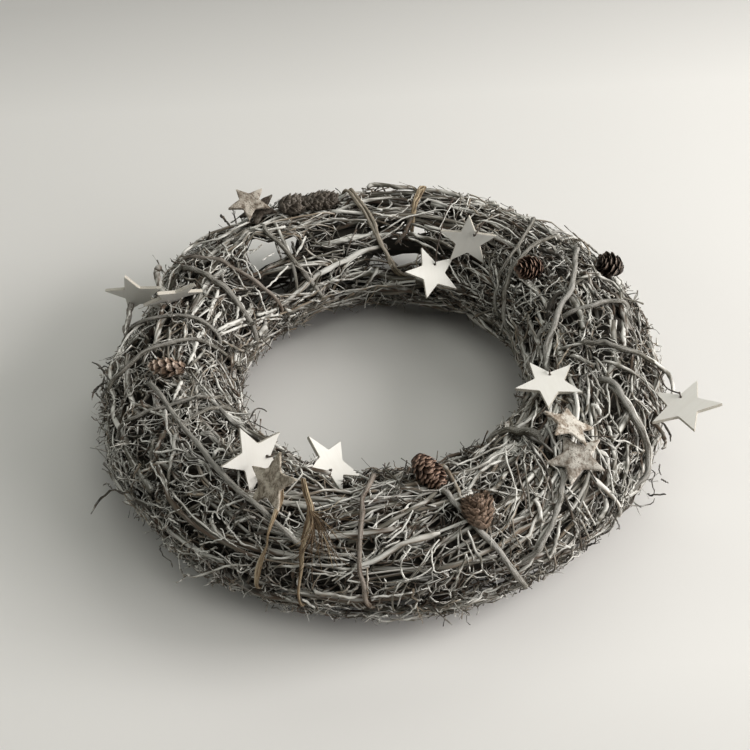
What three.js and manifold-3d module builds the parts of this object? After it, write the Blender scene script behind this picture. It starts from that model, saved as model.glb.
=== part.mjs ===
// Grapevine wreath: ten bunches of twigs laid end to end in a ring, bound over with vines and
// bast, and dressed with sawn wooden stars, stars cut from bark and larch cones.
// Millimetres, +Z up. The wreath lies flat on its underside.

import * as THREE from 'three';
import { mergeVertices } from 'three/addons/utils/BufferGeometryUtils.js';
import Module from 'manifold-3d';

const wasm = await Module();
wasm.setup();

// Ring of twigs: the outside of the tube that the bunches fill
const RING_RADIUS = 151.5;
const TUBE_HALF_WIDTH = 48.5;
const TUBE_HALF_HEIGHT = 43.3;
const BUNCHES = 10;
const BUNCH_ANGLE = 360 / BUNCHES;

// Core of tangled twigs inside each bunch
const CORE_SINK = 12;
const CORE_SIDES = 8;
const CORE_STEPS = 4;
const CORE_TURN = 2;
const REST_HALF_WIDTH = 15;

// Canes along each bunch, side by side round the core, each with one end sunk in it
const CANES_A_BUNCH = 14;
const CANE_RADIUS = 3.4;
const CANE_SINK = 3.6;
const CANE_END_SINK = 12;
const CANE_SIDES = 3;
const CANE_STEPS = 4;
const CANE_SPANS = 3;
const CANE_FIRST_OVER = -70;
const CANE_LAST_OVER = 250;
const CANE_LANE_START = 0.3;
const CANE_LANE_SCATTER = 0.4;
const CANE_DRIFT = 16;
const CANE_SWAY = 2.6;
const CANE_OVERRUN = 1;
const CANE_SHORT_LEAST = 2;
const CANE_SHORT_SCATTER = 3;

// Brush of twig ends that stands out of the bunches
const BRUSH_TWIGS = 96;
const BRUSH_RADIUS = 1.2;
const BRUSH_ROOT_SINK = 17;
const BRUSH_SIDES = 3;
const BRUSH_STEPS = 2;
const BRUSH_FIRST_OVER = -22;
const BRUSH_LAST_OVER = 203;
const BRUSH_REACH_LEAST = 3;
const BRUSH_REACH_SCATTER = 5;
const BRUSH_REACH_EXTRA = 11;
const BRUSH_THINNEST_AT = 30;
const BRUSH_LEAN = 11;
const BRUSH_ROLL = 16;
const BRUSH_ELBOW_SINK = 1;
const BRUSH_ELBOW_LEAN = 0.35;
const BRUSH_ELBOW_ROLL = 0.2;

// Sawn stars and bark stars
const STAR_NOTCH = 0.43;
const STAR_THICKNESS = 3;
const STAR_HOLE_RADIUS = 1.4;
const STAR_HOLE_REACH = 0.33;
const STAR_HOLE_SIDES = 6;
const BARK_NOTCH = 0.45;
const BARK_THICKNESS = 2.2;

// Vines and cones
const VINE_SIDES = 5;
const VINE_STEPS_A_SPAN = 1.2;
const CONE_RINGS = 8;
const CONE_SIDES = 8;
const CONE_BASE_WEIGHT = 0.8;
const CONE_FULLNESS = 0.7;
const SCALE_DEPTH = 0.82;

// Wire, bast and the gaps between neighbours
const WIRE_RADIUS = 0.6;
const WIRE_SIDES = 3;
const WIRE_STEPS_A_SPAN = 2;
const WIRE_TAIL = 14;
const WIRE_EDGE_GAP = 1.2;
const WIRE_LOOP_RISE = 3.6;
const BAST_WIDTH = 7;
const BAST_THICKNESS = 1.2;
const BAST_STEPS = 9;
const CLEARANCE = 0.35;

const TWIG = new THREE.MeshStandardMaterial({ color: 0x8d8a82, roughness: 0.9, metalness: 0 });
const VINE = new THREE.MeshStandardMaterial({ color: 0x7b766d, roughness: 0.85, metalness: 0 });
const WHITE_WOOD = new THREE.MeshStandardMaterial({ color: 0xebe7dc, roughness: 0.7, metalness: 0 });
const BARK = new THREE.MeshStandardMaterial({ color: 0x9b9184, roughness: 0.95, metalness: 0 });
const CONE = new THREE.MeshStandardMaterial({ color: 0x5d4a3c, roughness: 0.9, metalness: 0 });
const WIRE = new THREE.MeshStandardMaterial({ color: 0x35322e, roughness: 0.5, metalness: 0.8 });
const BAST = new THREE.MeshStandardMaterial({ color: 0xa58a68, roughness: 0.85, metalness: 0 });

const radians = THREE.MathUtils.degToRad;

// A fixed scatter between 0 and 1 for item n, with one channel for each property of the item
function scatter(n, channel) {
  const wave = Math.sin(n * 12.9898 + channel * 78.233) * 43758.5453;
  return wave - Math.floor(wave);
}

// A point by its angle round the ring, its angle round the tube and its height off the tube's outside.
// Round the tube, 0 is the outer side, 90 the top and 180 the side of the hole.
function ringPoint(around, over, lift) {
  const width = TUBE_HALF_WIDTH + lift;
  const height = TUBE_HALF_HEIGHT + lift;
  const reach = RING_RADIUS + width * Math.cos(radians(over));
  return new THREE.Vector3(
    reach * Math.cos(radians(around)),
    reach * Math.sin(radians(around)),
    TUBE_HALF_HEIGHT + height * Math.sin(radians(over)),
  );
}

// A solid from a geometry, with its shared points merged
function toSolid(geometry) {
  const bare = geometry.clone();
  bare.deleteAttribute('normal');
  bare.deleteAttribute('uv');
  const merged = mergeVertices(bare, 1e-4);
  return new wasm.Manifold(new wasm.Mesh({
    numProp: 3,
    vertProperties: new Float32Array(merged.attributes.position.array),
    triVerts: new Uint32Array(merged.index.array),
  }));
}

// A geometry from a solid
function toGeometry(solid) {
  const mesh = solid.getMesh();
  const geometry = new THREE.BufferGeometry();
  geometry.setAttribute('position', new THREE.BufferAttribute(new Float32Array(mesh.vertProperties), 3));
  geometry.setIndex(new THREE.BufferAttribute(new Uint32Array(mesh.triVerts), 1));
  return geometry;
}

// The largest of a solid's separate pieces
function largestPiece(solid) {
  const pieces = solid.decompose();
  return pieces.reduce((best, piece) => (piece.volume() > best.volume() ? piece : best));
}

// Union of many solids
function fuse(solids) {
  return solids.reduce((sum, solid) => sum.add(solid));
}

// Regular outline round the origin
function polygon(radius, sides) {
  const points = [];
  for (let i = 0; i < sides; i += 1) {
    const angle = (2 * Math.PI * i) / sides;
    points.push(new THREE.Vector2(radius * Math.cos(angle), radius * Math.sin(angle)));
  }
  return new THREE.Shape(points);
}

// Tube along a smooth curve through the given points
function tube(points, radius, sides, steps) {
  const path = new THREE.CatmullRomCurve3(points, false, 'centripetal');
  return new THREE.ExtrudeGeometry(polygon(radius, sides), { steps, extrudePath: path });
}

// Flat band over the tube: its outline in the plane across the tube, as wide as the band
function band(tie, spread) {
  const course = new THREE.SplineCurve(tie.points.map(([over, lift]) => new THREE.Vector2(over, lift)));
  const half = BAST_THICKNESS / 2 + spread;
  const across = (point, offset) => {
    const place = ringPoint(0, point.x, point.y + offset);
    return new THREE.Vector2(place.x, place.z);
  };
  const stations = course.getPoints(BAST_STEPS);
  const outer = stations.map((point) => across(point, half));
  const inner = stations.map((point) => across(point, -half)).reverse();
  const width = BAST_WIDTH + 2 * spread;
  const outline = new THREE.Shape(outer.concat(inner));
  return new THREE.ExtrudeGeometry(outline, { depth: width, bevelEnabled: false })
    .translate(0, 0, -width / 2)
    .rotateX(Math.PI / 2)
    .rotateZ(radians(tie.around));
}

// Core of one bunch: a slice of the ring with a flat underside that it rests on
function bunchCore(start) {
  const section = [];
  for (let i = 0; i < CORE_SIDES; i += 1) {
    const over = radians(-90 + (360 * (i + 0.5)) / CORE_SIDES);
    const across = (TUBE_HALF_WIDTH - CORE_SINK) * Math.cos(over);
    const up = (TUBE_HALF_HEIGHT - CORE_SINK) * Math.sin(over);
    section.push(new THREE.Vector2(RING_RADIUS + across, TUBE_HALF_HEIGHT + up));
  }
  section[0].set(RING_RADIUS + REST_HALF_WIDTH, 0);
  section[CORE_SIDES - 1].set(RING_RADIUS - REST_HALF_WIDTH, 0);
  section.push(section[0].clone());
  const lathe = new THREE.LatheGeometry(section, BUNCHES * CORE_STEPS);
  lathe.rotateX(Math.PI / 2);
  lathe.rotateZ(radians(start + CORE_TURN));
  return toSolid(lathe);
}

// Wedge of space that one bunch may fill, from the floor up, with half the clearance at each side
function bunchWedge(start) {
  const inner = 40;
  const outer = 290;
  const top = 160;
  const corner = (angle, reach, side) => new THREE.Vector2(
    reach * Math.cos(radians(angle)) - (side * CLEARANCE * Math.sin(radians(angle))) / 2,
    reach * Math.sin(radians(angle)) + (side * CLEARANCE * Math.cos(radians(angle))) / 2,
  );
  const outline = new THREE.Shape([
    corner(start, inner, 1),
    corner(start, outer, 1),
    corner(start + BUNCH_ANGLE, outer, -1),
    corner(start + BUNCH_ANGLE, inner, -1),
  ]);
  return toSolid(new THREE.ExtrudeGeometry(outline, { depth: top, bevelEnabled: false }));
}

// Cane of one bunch: it rises from the core at one end and runs out level at the other, a little
// past the bunch's edge, where the wedge trims it
function canePoints(start, bunchIndex, lane) {
  const n = bunchIndex * CANES_A_BUNCH + lane;
  const place = (lane + CANE_LANE_START + CANE_LANE_SCATTER * scatter(n, 1)) / CANES_A_BUNCH;
  const over = CANE_FIRST_OVER + (CANE_LAST_OVER - CANE_FIRST_OVER) * place;
  const drift = CANE_DRIFT * (scatter(n, 2) - 0.5);
  const forward = lane % 2 === 0;
  const short = CANE_SHORT_LEAST + CANE_SHORT_SCATTER * scatter(n, 3);
  const first = forward ? start + short : start - CANE_OVERRUN;
  const last = start + BUNCH_ANGLE + (forward ? CANE_OVERRUN : -short);
  const points = [];
  for (let i = 0; i <= CANE_SPANS; i += 1) {
    const t = i / CANE_SPANS;
    const sway = CANE_SWAY * (scatter(n, 4 + i) - 0.5);
    const endSink = CANE_END_SINK * (forward ? 1 - t : t) ** 3;
    points.push(ringPoint(first + (last - first) * t, over + drift * t, sway - CANE_SINK - endSink));
  }
  return points;
}

// Brush: twig n leans along the ring and reaches out further on the left side than on the right.
// It bends at its elbow, which lies just below the outside of the tube.
function brushPoints(n) {
  const around = (360 * (n + scatter(n, 11))) / BRUSH_TWIGS;
  const over = BRUSH_FIRST_OVER + (BRUSH_LAST_OVER - BRUSH_FIRST_OVER) * scatter(n, 12);
  const leftness = (1 - Math.cos(radians(around - BRUSH_THINNEST_AT))) / 2;
  const longest = BRUSH_REACH_SCATTER + BRUSH_REACH_EXTRA * leftness;
  const reach = BRUSH_REACH_LEAST + longest * scatter(n, 13);
  const lean = BRUSH_LEAN * (scatter(n, 14) - 0.5);
  const roll = BRUSH_ROLL * (scatter(n, 15) - 0.5);
  const elbow = [around + BRUSH_ELBOW_LEAN * lean, over + BRUSH_ELBOW_ROLL * roll];
  const points = [
    ringPoint(around, over, -BRUSH_ROOT_SINK),
    ringPoint(elbow[0], elbow[1], -BRUSH_ELBOW_SINK),
    ringPoint(around + lean, over + roll, reach),
  ];
  return { around, points };
}

// Vines and sticks: the radius and the points as [around, over, lift]
const VINES = [
  {
    name: 'long_stick_left',
    radius: 2.7,
    points: [
      [189, 76, -8], [197, 81, 4], [208, 86, 5.5], [220, 84, 5], [233, 76, 5], [243, 66, 6.6],
      [252, 52, 6.9], [258, 43, 3], [263, 36, -6],
    ],
  },
  {
    name: 'vine_left_1',
    radius: 2.4,
    points: [
      [201, 18, -10], [200, 40, 1], [201, 62, 1], [202, 88, -1.5], [203, 111, 2],
      [202, 136, 1], [203, 158, -10],
    ],
  },
  {
    name: 'vine_left_2',
    radius: 2.2,
    points: [
      [214, 40, -10], [211, 58, 1], [210, 74, -2], [209, 104, 1.5], [208, 130, 2],
      [208, 152, -10],
    ],
  },
  {
    name: 'vine_left_3',
    radius: 2.8,
    points: [
      [190, 20, -10], [188, 38, 2], [186, 55, 3], [183, 76, 4], [180, 100, 3], [177, 121, 3],
      [177, 148, 2], [175, 172, 1], [171, 198, -10],
    ],
  },
  {
    name: 'vine_left_4',
    radius: 2.6,
    points: [
      [172, 15, -10], [171, 36, 2], [170, 64, 3], [169, 95, 3], [168, 118, 2], [171, 136, 1],
      [174, 150, -10],
    ],
  },
  {
    name: 'vine_far_1',
    radius: 2,
    points: [
      [145, 40, -10], [145, 61, 1], [143, 87, 2], [142, 112, 2], [139, 140, 2], [135, 168, 1],
      [134, 200, -10],
    ],
  },
  {
    name: 'vine_far_2',
    radius: 2,
    points: [
      [145.5, 52, -10], [149, 76, 1], [149.5, 98, 2], [151, 123, 2], [153, 148, 2],
      [155, 180, 1], [152, 212, -10],
    ],
  },
  {
    name: 'vine_far_3',
    radius: 2.2,
    points: [
      [125, 70, -10], [123.5, 86, 1], [124, 102, 3], [122, 131, 3], [119, 155, 2],
      [115, 176, 1], [111, 202, -10],
    ],
  },
  {
    name: 'vine_far_4',
    radius: 2.4,
    points: [
      [97, 42, -10], [96, 62, 2], [94, 90, 3], [91, 112, 3], [87, 136, 2], [82, 160, 1],
      [76, 182, -10],
    ],
  },
  {
    name: 'vine_right_1',
    radius: 2,
    points: [
      [49, 40, -10], [46, 59, 2], [41, 92, 3], [38, 124, 3], [36, 144, 2], [31, 166, 1],
      [25, 190, -10],
    ],
  },
  {
    name: 'vine_right_2',
    radius: 2,
    points: [
      [36, 50, -10], [36, 71, 2], [36, 98, 2], [34, 130, 2], [29, 154, 2], [23, 172, 1],
      [17, 196, -10],
    ],
  },
  {
    name: 'vine_right_3',
    radius: 3,
    points: [
      [33, 58, -8], [29, 67, 2], [24, 81, 4], [15, 98, 4], [8, 114, 4], [0, 128, 3],
      [351, 136, 1], [341, 140, -10],
    ],
  },
  {
    name: 'vine_right_4',
    radius: 2.5,
    points: [
      [3, 160, -10], [5, 142, -1], [6.5, 120, -3.5], [6, 94, 1], [7, 75, 2], [7, 58, 2],
      [2, 40, -10],
    ],
  },
  {
    name: 'vine_right_5',
    radius: 2.6,
    points: [
      [353, 118, -10], [351.5, 104, 1], [351, 88, 3], [350, 72, 3], [351, 50, 3], [352, 24, 2],
      [352, 2, -10],
    ],
  },
  {
    name: 'vine_near_1',
    radius: 3,
    points: [
      [341, 96, -10], [338, 77, 3], [334, 63, 4], [331, 47, 4], [329, 26, 4], [325, 10, 3],
      [318, -4, -10],
    ],
  },
  {
    name: 'vine_near_2',
    radius: 3,
    points: [
      [311, 78, -10], [309, 64, 1], [306, 55, 3], [303, 44, 3], [299, 33, 3], [295, 20, 2],
      [291, 4, -10],
    ],
  },
  {
    name: 'vine_near_3',
    radius: 3.2,
    points: [
      [304, 150, -10], [307, 133, 2], [311, 116, 3], [312, 98, 2], [312, 84, -10],
    ],
  },
  {
    name: 'vine_near_4',
    radius: 2.8,
    points: [
      [265, 132, -10], [266, 112, 3], [264, 88, 4], [264, 62, 4], [264, 36, 3], [265, 8, 2],
      [267, -24, -10],
    ],
  },
  {
    name: 'stub_stick_near',
    radius: 3.2,
    points: [
      [280.5, 106, -10], [281.5, 90, 0], [283, 74, 0], [285, 56, 0.5], [288, 38, 3],
      [290.5, 20, 4], [293, -2, 6],
    ],
  },
  {
    name: 'star_pick',
    radius: 2,
    points: [
      [169.5, 54, -9], [168, 46, 1], [165, 36, 3], [160.5, 24, 3.2],
    ],
  },
];

// Bast ties: the angle round the ring and the points as [over, lift]
const BAST_TIES = [
  {
    name: 'bast_tie_far',
    around: 77,
    points: [
      [30, -8], [50, 1], [76, 2], [98, 1.5], [120, -8],
    ],
  },
  {
    name: 'bast_tie_near_1',
    around: 245.5,
    points: [
      [106, -8], [86, 1.5], [62, 2], [38, 2], [10, 1.5], [-18, -8],
    ],
  },
  {
    name: 'bast_tie_near_2',
    around: 253.5,
    points: [
      [106, -8], [84, 1.5], [60, 2], [32, 2], [4, 1.5], [-24, -8],
    ],
  },
];

// Stars: tip radius, centre, the way that the face looks and the way to the first tip. A hole is
// given by its angle from the first tip, and a wire's own route by its points as [around, over, lift].
const WHITE_STARS = [
  {
    name: 'white_star_1',
    radius: 23.5,
    centre: [-177.2, 65.3, 79.3],
    face: [-0.15, -0.96, -0.24],
    tip: [-0.19, -0.21, 0.96],
  },
  {
    name: 'white_star_2',
    radius: 23.6,
    centre: [-146.2, 46.7, 92.2],
    face: [0.25, -0.76, -0.61],
    tip: [-0.36, -0.65, 0.67],
  },
  {
    name: 'white_star_3',
    radius: 22.3,
    centre: [42.6, 86.9, 66.1],
    face: [0.26, -0.41, 0.87],
    tip: [-0.33, 0.81, 0.48],
    hole: -36,
    route: [[65, 138, 6], [66, 122, 2.5], [67, 100, 1.5], [67, 76, 1.5], [67, 58, -9]],
  },
  {
    name: 'white_star_4',
    radius: 22.3,
    centre: [70.1, 95.4, 88.6],
    face: [-0.21, -0.97, 0.13],
    tip: [0.04, 0.12, 0.99],
    hole: -36,
    route: [[54, 98, 3], [55, 88, -16]],
  },
  {
    name: 'white_star_5',
    radius: 23.9,
    centre: [110.7, -56.9, 85.1],
    face: [0, 0.03, 1],
    tip: [-0.45, 0.89, -0.03],
    hole: -36,
  },
  {
    name: 'white_star_6',
    radius: 25.3,
    centre: [200.4, -68.7, 68.7],
    face: [-0.23, 0.07, 0.97],
    tip: [0.53, 0.85, 0.06],
    hole: 36,
    route: [[347.5, 24, 3], [350, 38, 1.5], [352, 50, -9]],
  },
  {
    name: 'white_star_7',
    radius: 23.1,
    centre: [-82.8, -118.9, 95],
    face: [0.39, -0.75, 0.53],
    tip: [-0.36, 0.41, 0.84],
    hole: -108,
  },
  {
    name: 'white_star_8',
    radius: 24.4,
    centre: [-36.9, -89.4, 53.6],
    face: [0.64, -0.02, 0.77],
    tip: [-0.63, 0.57, 0.54],
    hole: 108,
  },
];

const BARK_STARS = [
  {
    name: 'bark_star_1',
    radius: 18.5,
    centre: [-95, 149, 95.4],
    face: [0.05, -0.36, 0.93],
    tip: [-0.58, 0.73, 0.35],
  },
  {
    name: 'bark_star_2',
    radius: 17,
    centre: [-88.5, 149.6, 88],
    face: [-0.26, -0.21, 0.94],
    tip: [0.65, 0.68, 0.33],
  },
  {
    name: 'bark_star_3',
    radius: 20.2,
    centre: [-72, -141.5, 97.5],
    face: [-0.57, -0.4, 0.72],
    tip: [0.32, 0.7, 0.64],
  },
  {
    name: 'bark_star_4',
    radius: 19.1,
    centre: [116.4, -105.5, 96.2],
    face: [0.4, 0.12, 0.91],
    tip: [0.08, 0.98, -0.16],
  },
  {
    name: 'bark_star_5',
    radius: 20.5,
    centre: [118.1, -127.6, 88.85],
    face: [-0.17, -0.12, 0.98],
    tip: [-0.3, 0.95, 0.07],
  },
];

// Cones: middle, the way to the tip, length and widest radius
const CONES = [
  {
    name: 'cone_1',
    centre: [-61.9, 151.2, 89],
    axis: [-0.5, -0.8, 0.2],
    length: 21,
    radius: 9.5,
  },
  {
    name: 'cone_2',
    centre: [-39, 153, 90.2],
    axis: [1, 0.1, 0],
    length: 27,
    radius: 8,
  },
  {
    name: 'cone_3',
    centre: [112.5, 65, 86],
    axis: [0.85, 0.2, 0.2],
    length: 20,
    radius: 9.5,
  },
  {
    name: 'cone_4',
    centre: [175.5, 76, 74.5],
    axis: [0.2, -0.8, 0.5],
    length: 20,
    radius: 9,
  },
  {
    name: 'cone_5',
    centre: [-145, -28, 91.5],
    axis: [-0.95, 0.1, 0.1],
    length: 25,
    radius: 7.5,
  },
  {
    name: 'cone_6',
    centre: [26, -134, 90],
    axis: [0.5, -0.6, 0.4],
    length: 25,
    radius: 10.5,
  },
  {
    name: 'cone_7',
    centre: [57.5, -165.5, 86.5],
    axis: [0.3, -0.75, 0.35],
    length: 26,
    radius: 10.5,
  },
];

// Points in space of a path that is given round the ring and the tube
function pathPoints(points) {
  return points.map(([around, over, lift]) => ringPoint(around, over, lift));
}

// Outline of a five-pointed star, with its first tip along x and its notches at a share of its radius
function starOutline(radius, notch, spread) {
  const points = [];
  for (let i = 0; i < 10; i += 1) {
    const angle = (Math.PI * i) / 5;
    const reach = i % 2 === 0 ? radius + 2 * spread : radius * notch + spread;
    points.push(new THREE.Vector2(reach * Math.cos(angle), reach * Math.sin(angle)));
  }
  return new THREE.Shape(points);
}

// Frame of a plate: z is the way that the face looks, x the way to the first tip
function plateMatrix(star) {
  const z = new THREE.Vector3(...star.face).normalize();
  const tip = new THREE.Vector3(...star.tip);
  const x = tip.addScaledVector(z, -tip.dot(z)).normalize();
  const y = new THREE.Vector3().crossVectors(z, x);
  return new THREE.Matrix4().makeBasis(x, y, z).setPosition(...star.centre);
}

// Flat plate in a star's place
function plate(star, outline, thickness) {
  const geometry = new THREE.ExtrudeGeometry(outline, { depth: thickness, bevelEnabled: false });
  geometry.translate(0, 0, -thickness / 2);
  return geometry.applyMatrix4(plateMatrix(star));
}

// Sawn star with its drilled hole
function whiteStar(star) {
  const outline = starOutline(star.radius, STAR_NOTCH, 0);
  if (star.hole !== undefined) {
    const angle = radians(star.hole);
    const reach = star.radius * STAR_HOLE_REACH;
    const hole = new THREE.Path();
    const place = new THREE.Vector2(reach * Math.cos(angle), reach * Math.sin(angle));
    const rim = polygon(STAR_HOLE_RADIUS, STAR_HOLE_SIDES).getPoints().reverse();
    hole.setFromPoints(rim.map((point) => point.add(place)));
    outline.holes.push(hole);
  }
  return plate(star, outline, STAR_THICKNESS);
}

// Wire of one star: in from behind through the hole, over the edge of the notch and back down,
// or on along the ring where the star has a route of its own
function wirePoints(star) {
  const angle = radians(star.hole);
  const matrix = plateMatrix(star);
  const reach = star.radius * STAR_HOLE_REACH;
  const at = (outward, up) => new THREE.Vector3(
    (reach + outward) * Math.cos(angle),
    (reach + outward) * Math.sin(angle),
    up,
  ).applyMatrix4(matrix);
  const edge = star.radius * (STAR_NOTCH - STAR_HOLE_REACH) + WIRE_RADIUS + WIRE_EDGE_GAP;
  const points = [
    at(0, -WIRE_TAIL),
    at(0, -STAR_THICKNESS),
    at(0, STAR_THICKNESS / 2 + WIRE_RADIUS),
    at(edge / 2, WIRE_LOOP_RISE),
    at(edge, STAR_THICKNESS / 3),
  ];
  if (star.route) {
    return points.concat(pathPoints(star.route));
  }
  return points.concat([at(edge + WIRE_RADIUS, -STAR_THICKNESS), at(edge, -WIRE_TAIL)]);
}

// Cone: a lathe form whose points stand out and in by turns, as rows of scales
function coneGeometry(cone, spread) {
  const profile = [];
  for (let i = 0; i <= CONE_RINGS; i += 1) {
    const t = i / CONE_RINGS;
    const radius = cone.radius * Math.sin(Math.PI * t ** CONE_BASE_WEIGHT) ** CONE_FULLNESS;
    const reach = i === 0 || i === CONE_RINGS ? 0 : radius + spread;
    profile.push(new THREE.Vector2(reach, (cone.length + 2 * spread) * (t - 0.5)));
  }
  const geometry = new THREE.LatheGeometry(profile, CONE_SIDES);
  const position = geometry.attributes.position;
  for (let i = 0; i < position.count; i += 1) {
    const side = Math.floor(i / profile.length) % CONE_SIDES;
    const ring = i % profile.length;
    const out = (side + ring) % 2 === 0 ? 1 : SCALE_DEPTH;
    position.setX(i, position.getX(i) * out);
    position.setZ(i, position.getZ(i) * out);
  }
  const turn = new THREE.Quaternion().setFromUnitVectors(
    new THREE.Vector3(0, 1, 0),
    new THREE.Vector3(...cone.axis).normalize(),
  );
  return geometry.applyQuaternion(turn).translate(...cone.centre);
}

// All pieces on the bunches: each with its own solid, and a slightly larger one that clears it
function fittings() {
  const list = [];
  const add = (name, material, build) => list.push({
    name,
    material,
    solid: toSolid(build(0)),
    clearing: toSolid(build(CLEARANCE)),
  });
  VINES.forEach(({ name, radius, points }) => {
    const steps = Math.round((points.length - 1) * VINE_STEPS_A_SPAN);
    add(name, VINE, (spread) => tube(pathPoints(points), radius + spread, VINE_SIDES, steps));
  });
  BAST_TIES.forEach((tie) => {
    add(tie.name, BAST, (spread) => band(tie, spread));
  });
  WHITE_STARS.forEach((star) => {
    add(star.name, WHITE_WOOD, (spread) => {
      const outline = starOutline(star.radius, STAR_NOTCH, spread);
      return spread > 0 ? plate(star, outline, STAR_THICKNESS + 2 * spread) : whiteStar(star);
    });
  });
  WHITE_STARS.filter((star) => star.hole !== undefined).forEach((star) => {
    const points = wirePoints(star);
    const steps = Math.round((points.length - 1) * WIRE_STEPS_A_SPAN);
    add(`${star.name}_wire`, WIRE, (spread) => tube(points, WIRE_RADIUS + spread, WIRE_SIDES, steps));
  });
  BARK_STARS.forEach((star) => {
    add(star.name, BARK, (spread) => {
      return plate(star, starOutline(star.radius, BARK_NOTCH, spread), BARK_THICKNESS + 2 * spread);
    });
  });
  CONES.forEach((cone) => {
    add(cone.name, CONE, (spread) => coneGeometry(cone, spread));
  });
  return list;
}

// Brush of the whole ring, each twig with its place round it
function brush() {
  const twigs = [];
  for (let n = 0; n < BRUSH_TWIGS; n += 1) {
    const { around, points } = brushPoints(n);
    twigs.push({ around, solid: toSolid(tube(points, BRUSH_RADIUS, BRUSH_SIDES, BRUSH_STEPS)) });
  }
  return twigs;
}

// One bunch: its core, canes and brush in one body, cut to its wedge and clear of all pieces on it
function bunch(index, twigs, pieces) {
  const start = index * BUNCH_ANGLE;
  const solids = [bunchCore(start)];
  for (let lane = 0; lane < CANES_A_BUNCH; lane += 1) {
    solids.push(toSolid(tube(canePoints(start, index, lane), CANE_RADIUS, CANE_SIDES, CANE_STEPS)));
  }
  const own = twigs.filter(({ around }) => around > start && around < start + BUNCH_ANGLE);
  const whole = fuse(solids.concat(own.map(({ solid }) => solid))).intersect(bunchWedge(start));
  const cut = pieces.reduce((rest, piece) => rest.subtract(piece.clearing), whole);
  return largestPiece(cut);
}

const wreath = new THREE.Group();
const pieces = fittings();
const twigs = brush();
for (let i = 0; i < BUNCHES; i += 1) {
  const mesh = new THREE.Mesh(toGeometry(bunch(i, twigs, pieces)), TWIG);
  mesh.name = `twig_bunch_${i + 1}`;
  wreath.add(mesh);
}
pieces.forEach(({ name, material, solid }) => {
  const mesh = new THREE.Mesh(toGeometry(solid), material);
  mesh.name = name;
  wreath.add(mesh);
});

// The origin is the middle of the wreath's base
const box = new THREE.Box3().setFromObject(wreath);
const middle = box.getCenter(new THREE.Vector3());
wreath.position.set(-middle.x, -middle.y, -box.min.z);

export default wreath;
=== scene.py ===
"""Round lying wreath of whitewashed twigs, bound over with vines and bast and dressed with sawn
wooden stars, stars cut from bark and larch cones. Sizes are in millimetres, and each mesh is
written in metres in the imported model's frame, +Z up."""

import logging
import math
from dataclasses import dataclass, field
from enum import Enum
from typing import ClassVar

import bpy
import numpy as np
from mathutils import Matrix, Vector
from numpy.typing import NDArray


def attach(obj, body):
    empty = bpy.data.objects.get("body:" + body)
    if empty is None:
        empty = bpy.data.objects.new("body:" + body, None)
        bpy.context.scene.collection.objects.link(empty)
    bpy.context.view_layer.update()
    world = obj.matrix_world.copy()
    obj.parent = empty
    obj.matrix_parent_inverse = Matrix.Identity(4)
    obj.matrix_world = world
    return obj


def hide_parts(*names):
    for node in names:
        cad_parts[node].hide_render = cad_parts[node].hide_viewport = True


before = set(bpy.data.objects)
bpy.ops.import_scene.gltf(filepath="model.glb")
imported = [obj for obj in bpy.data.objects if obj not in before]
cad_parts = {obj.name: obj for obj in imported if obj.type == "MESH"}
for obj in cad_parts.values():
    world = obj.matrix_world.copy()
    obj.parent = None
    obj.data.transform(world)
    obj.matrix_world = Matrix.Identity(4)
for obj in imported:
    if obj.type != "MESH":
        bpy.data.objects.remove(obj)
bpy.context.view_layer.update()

Array = NDArray[np.float64]
Colour = tuple[float, float, float]
Triple = tuple[float, float, float]
Pair = tuple[float, float]
Draws = np.random.Generator
Socket = bpy.types.NodeSocket

log = logging.getLogger("wreath")

MM = 0.001
BODY = "root"
SEED = 1394
FLOOR_GAP = 0.05


class Slot(Enum):
    """The record's material slots."""

    TWIG = "twig"
    VINE = "vine"
    BAST = "bast"
    WHITE_WOOD = "white_wood"
    WIRE = "wire"
    BARK = "bark"
    CONE = "cone"


# ---------------------------------------------------------------- ring and curves


@dataclass(frozen=True)
class Ring:
    """The tube that the twigs fill: its middle circle and its elliptic section, in millimetres.

    The mean half size turns lengths over the tube's skin into angles.
    """

    radius: float = 151.5
    half_width: float = 48.5
    half_height: float = 43.3
    half_mean: float = 46.0
    middle: Pair = (-7.665, 2.302)

    def place(self, around: Array, over: Array, lift: Array) -> Array:
        """Points by ring angle, tube angle and height off the tube.

        The reach from the middle is radius + (half width + lift) * cos(over), the height is
        half height + (half height + lift) * sin(over), turned by the ring angle.

        Args:
            around: Angle round the ring in degrees, 0 at +X.
            over: Angle round the tube in degrees, 0 outside, 90 on top, 180 at the hole.
            lift: Height off the tube's outside.

        Returns:
            Points with a last axis of three.
        """
        turn, rise = np.radians(around), np.radians(over)
        reach = self.radius + (self.half_width + lift) * np.cos(rise)
        height = self.half_height + (self.half_height + lift) * np.sin(rise)
        x = self.middle[0] + reach * np.cos(turn)
        y = self.middle[1] + reach * np.sin(turn)
        return np.stack(np.broadcast_arrays(x, y, height), axis=-1)

    def depth(self, points: Array) -> Array:
        """Rough height off the tube's outside: its scaled distance from the middle circle."""
        flat = points[..., :2] - np.array(self.middle)
        wide = (np.linalg.norm(flat, axis=-1) - self.radius) / self.half_width
        tall = (points[..., 2] - self.half_height) / self.half_height
        return self.half_mean * (np.hypot(wide, tall) - 1)

    def outward(self, points: Array) -> Array:
        """Direction away from the middle circle at each point."""
        flat = points[..., :2] - np.array(self.middle)
        reach = np.linalg.norm(flat, axis=-1, keepdims=True)
        middle = np.concatenate([flat / reach * self.radius, np.full_like(reach, self.half_height)], axis=-1)
        return unit(np.concatenate([flat, points[..., 2:3]], axis=-1) - middle)

    def shifted(self, point: Triple) -> Array:
        """A point given from the ring's own middle, in the model's frame."""
        return np.array(point) + np.array([*self.middle, 0.0])


RING = Ring()


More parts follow.
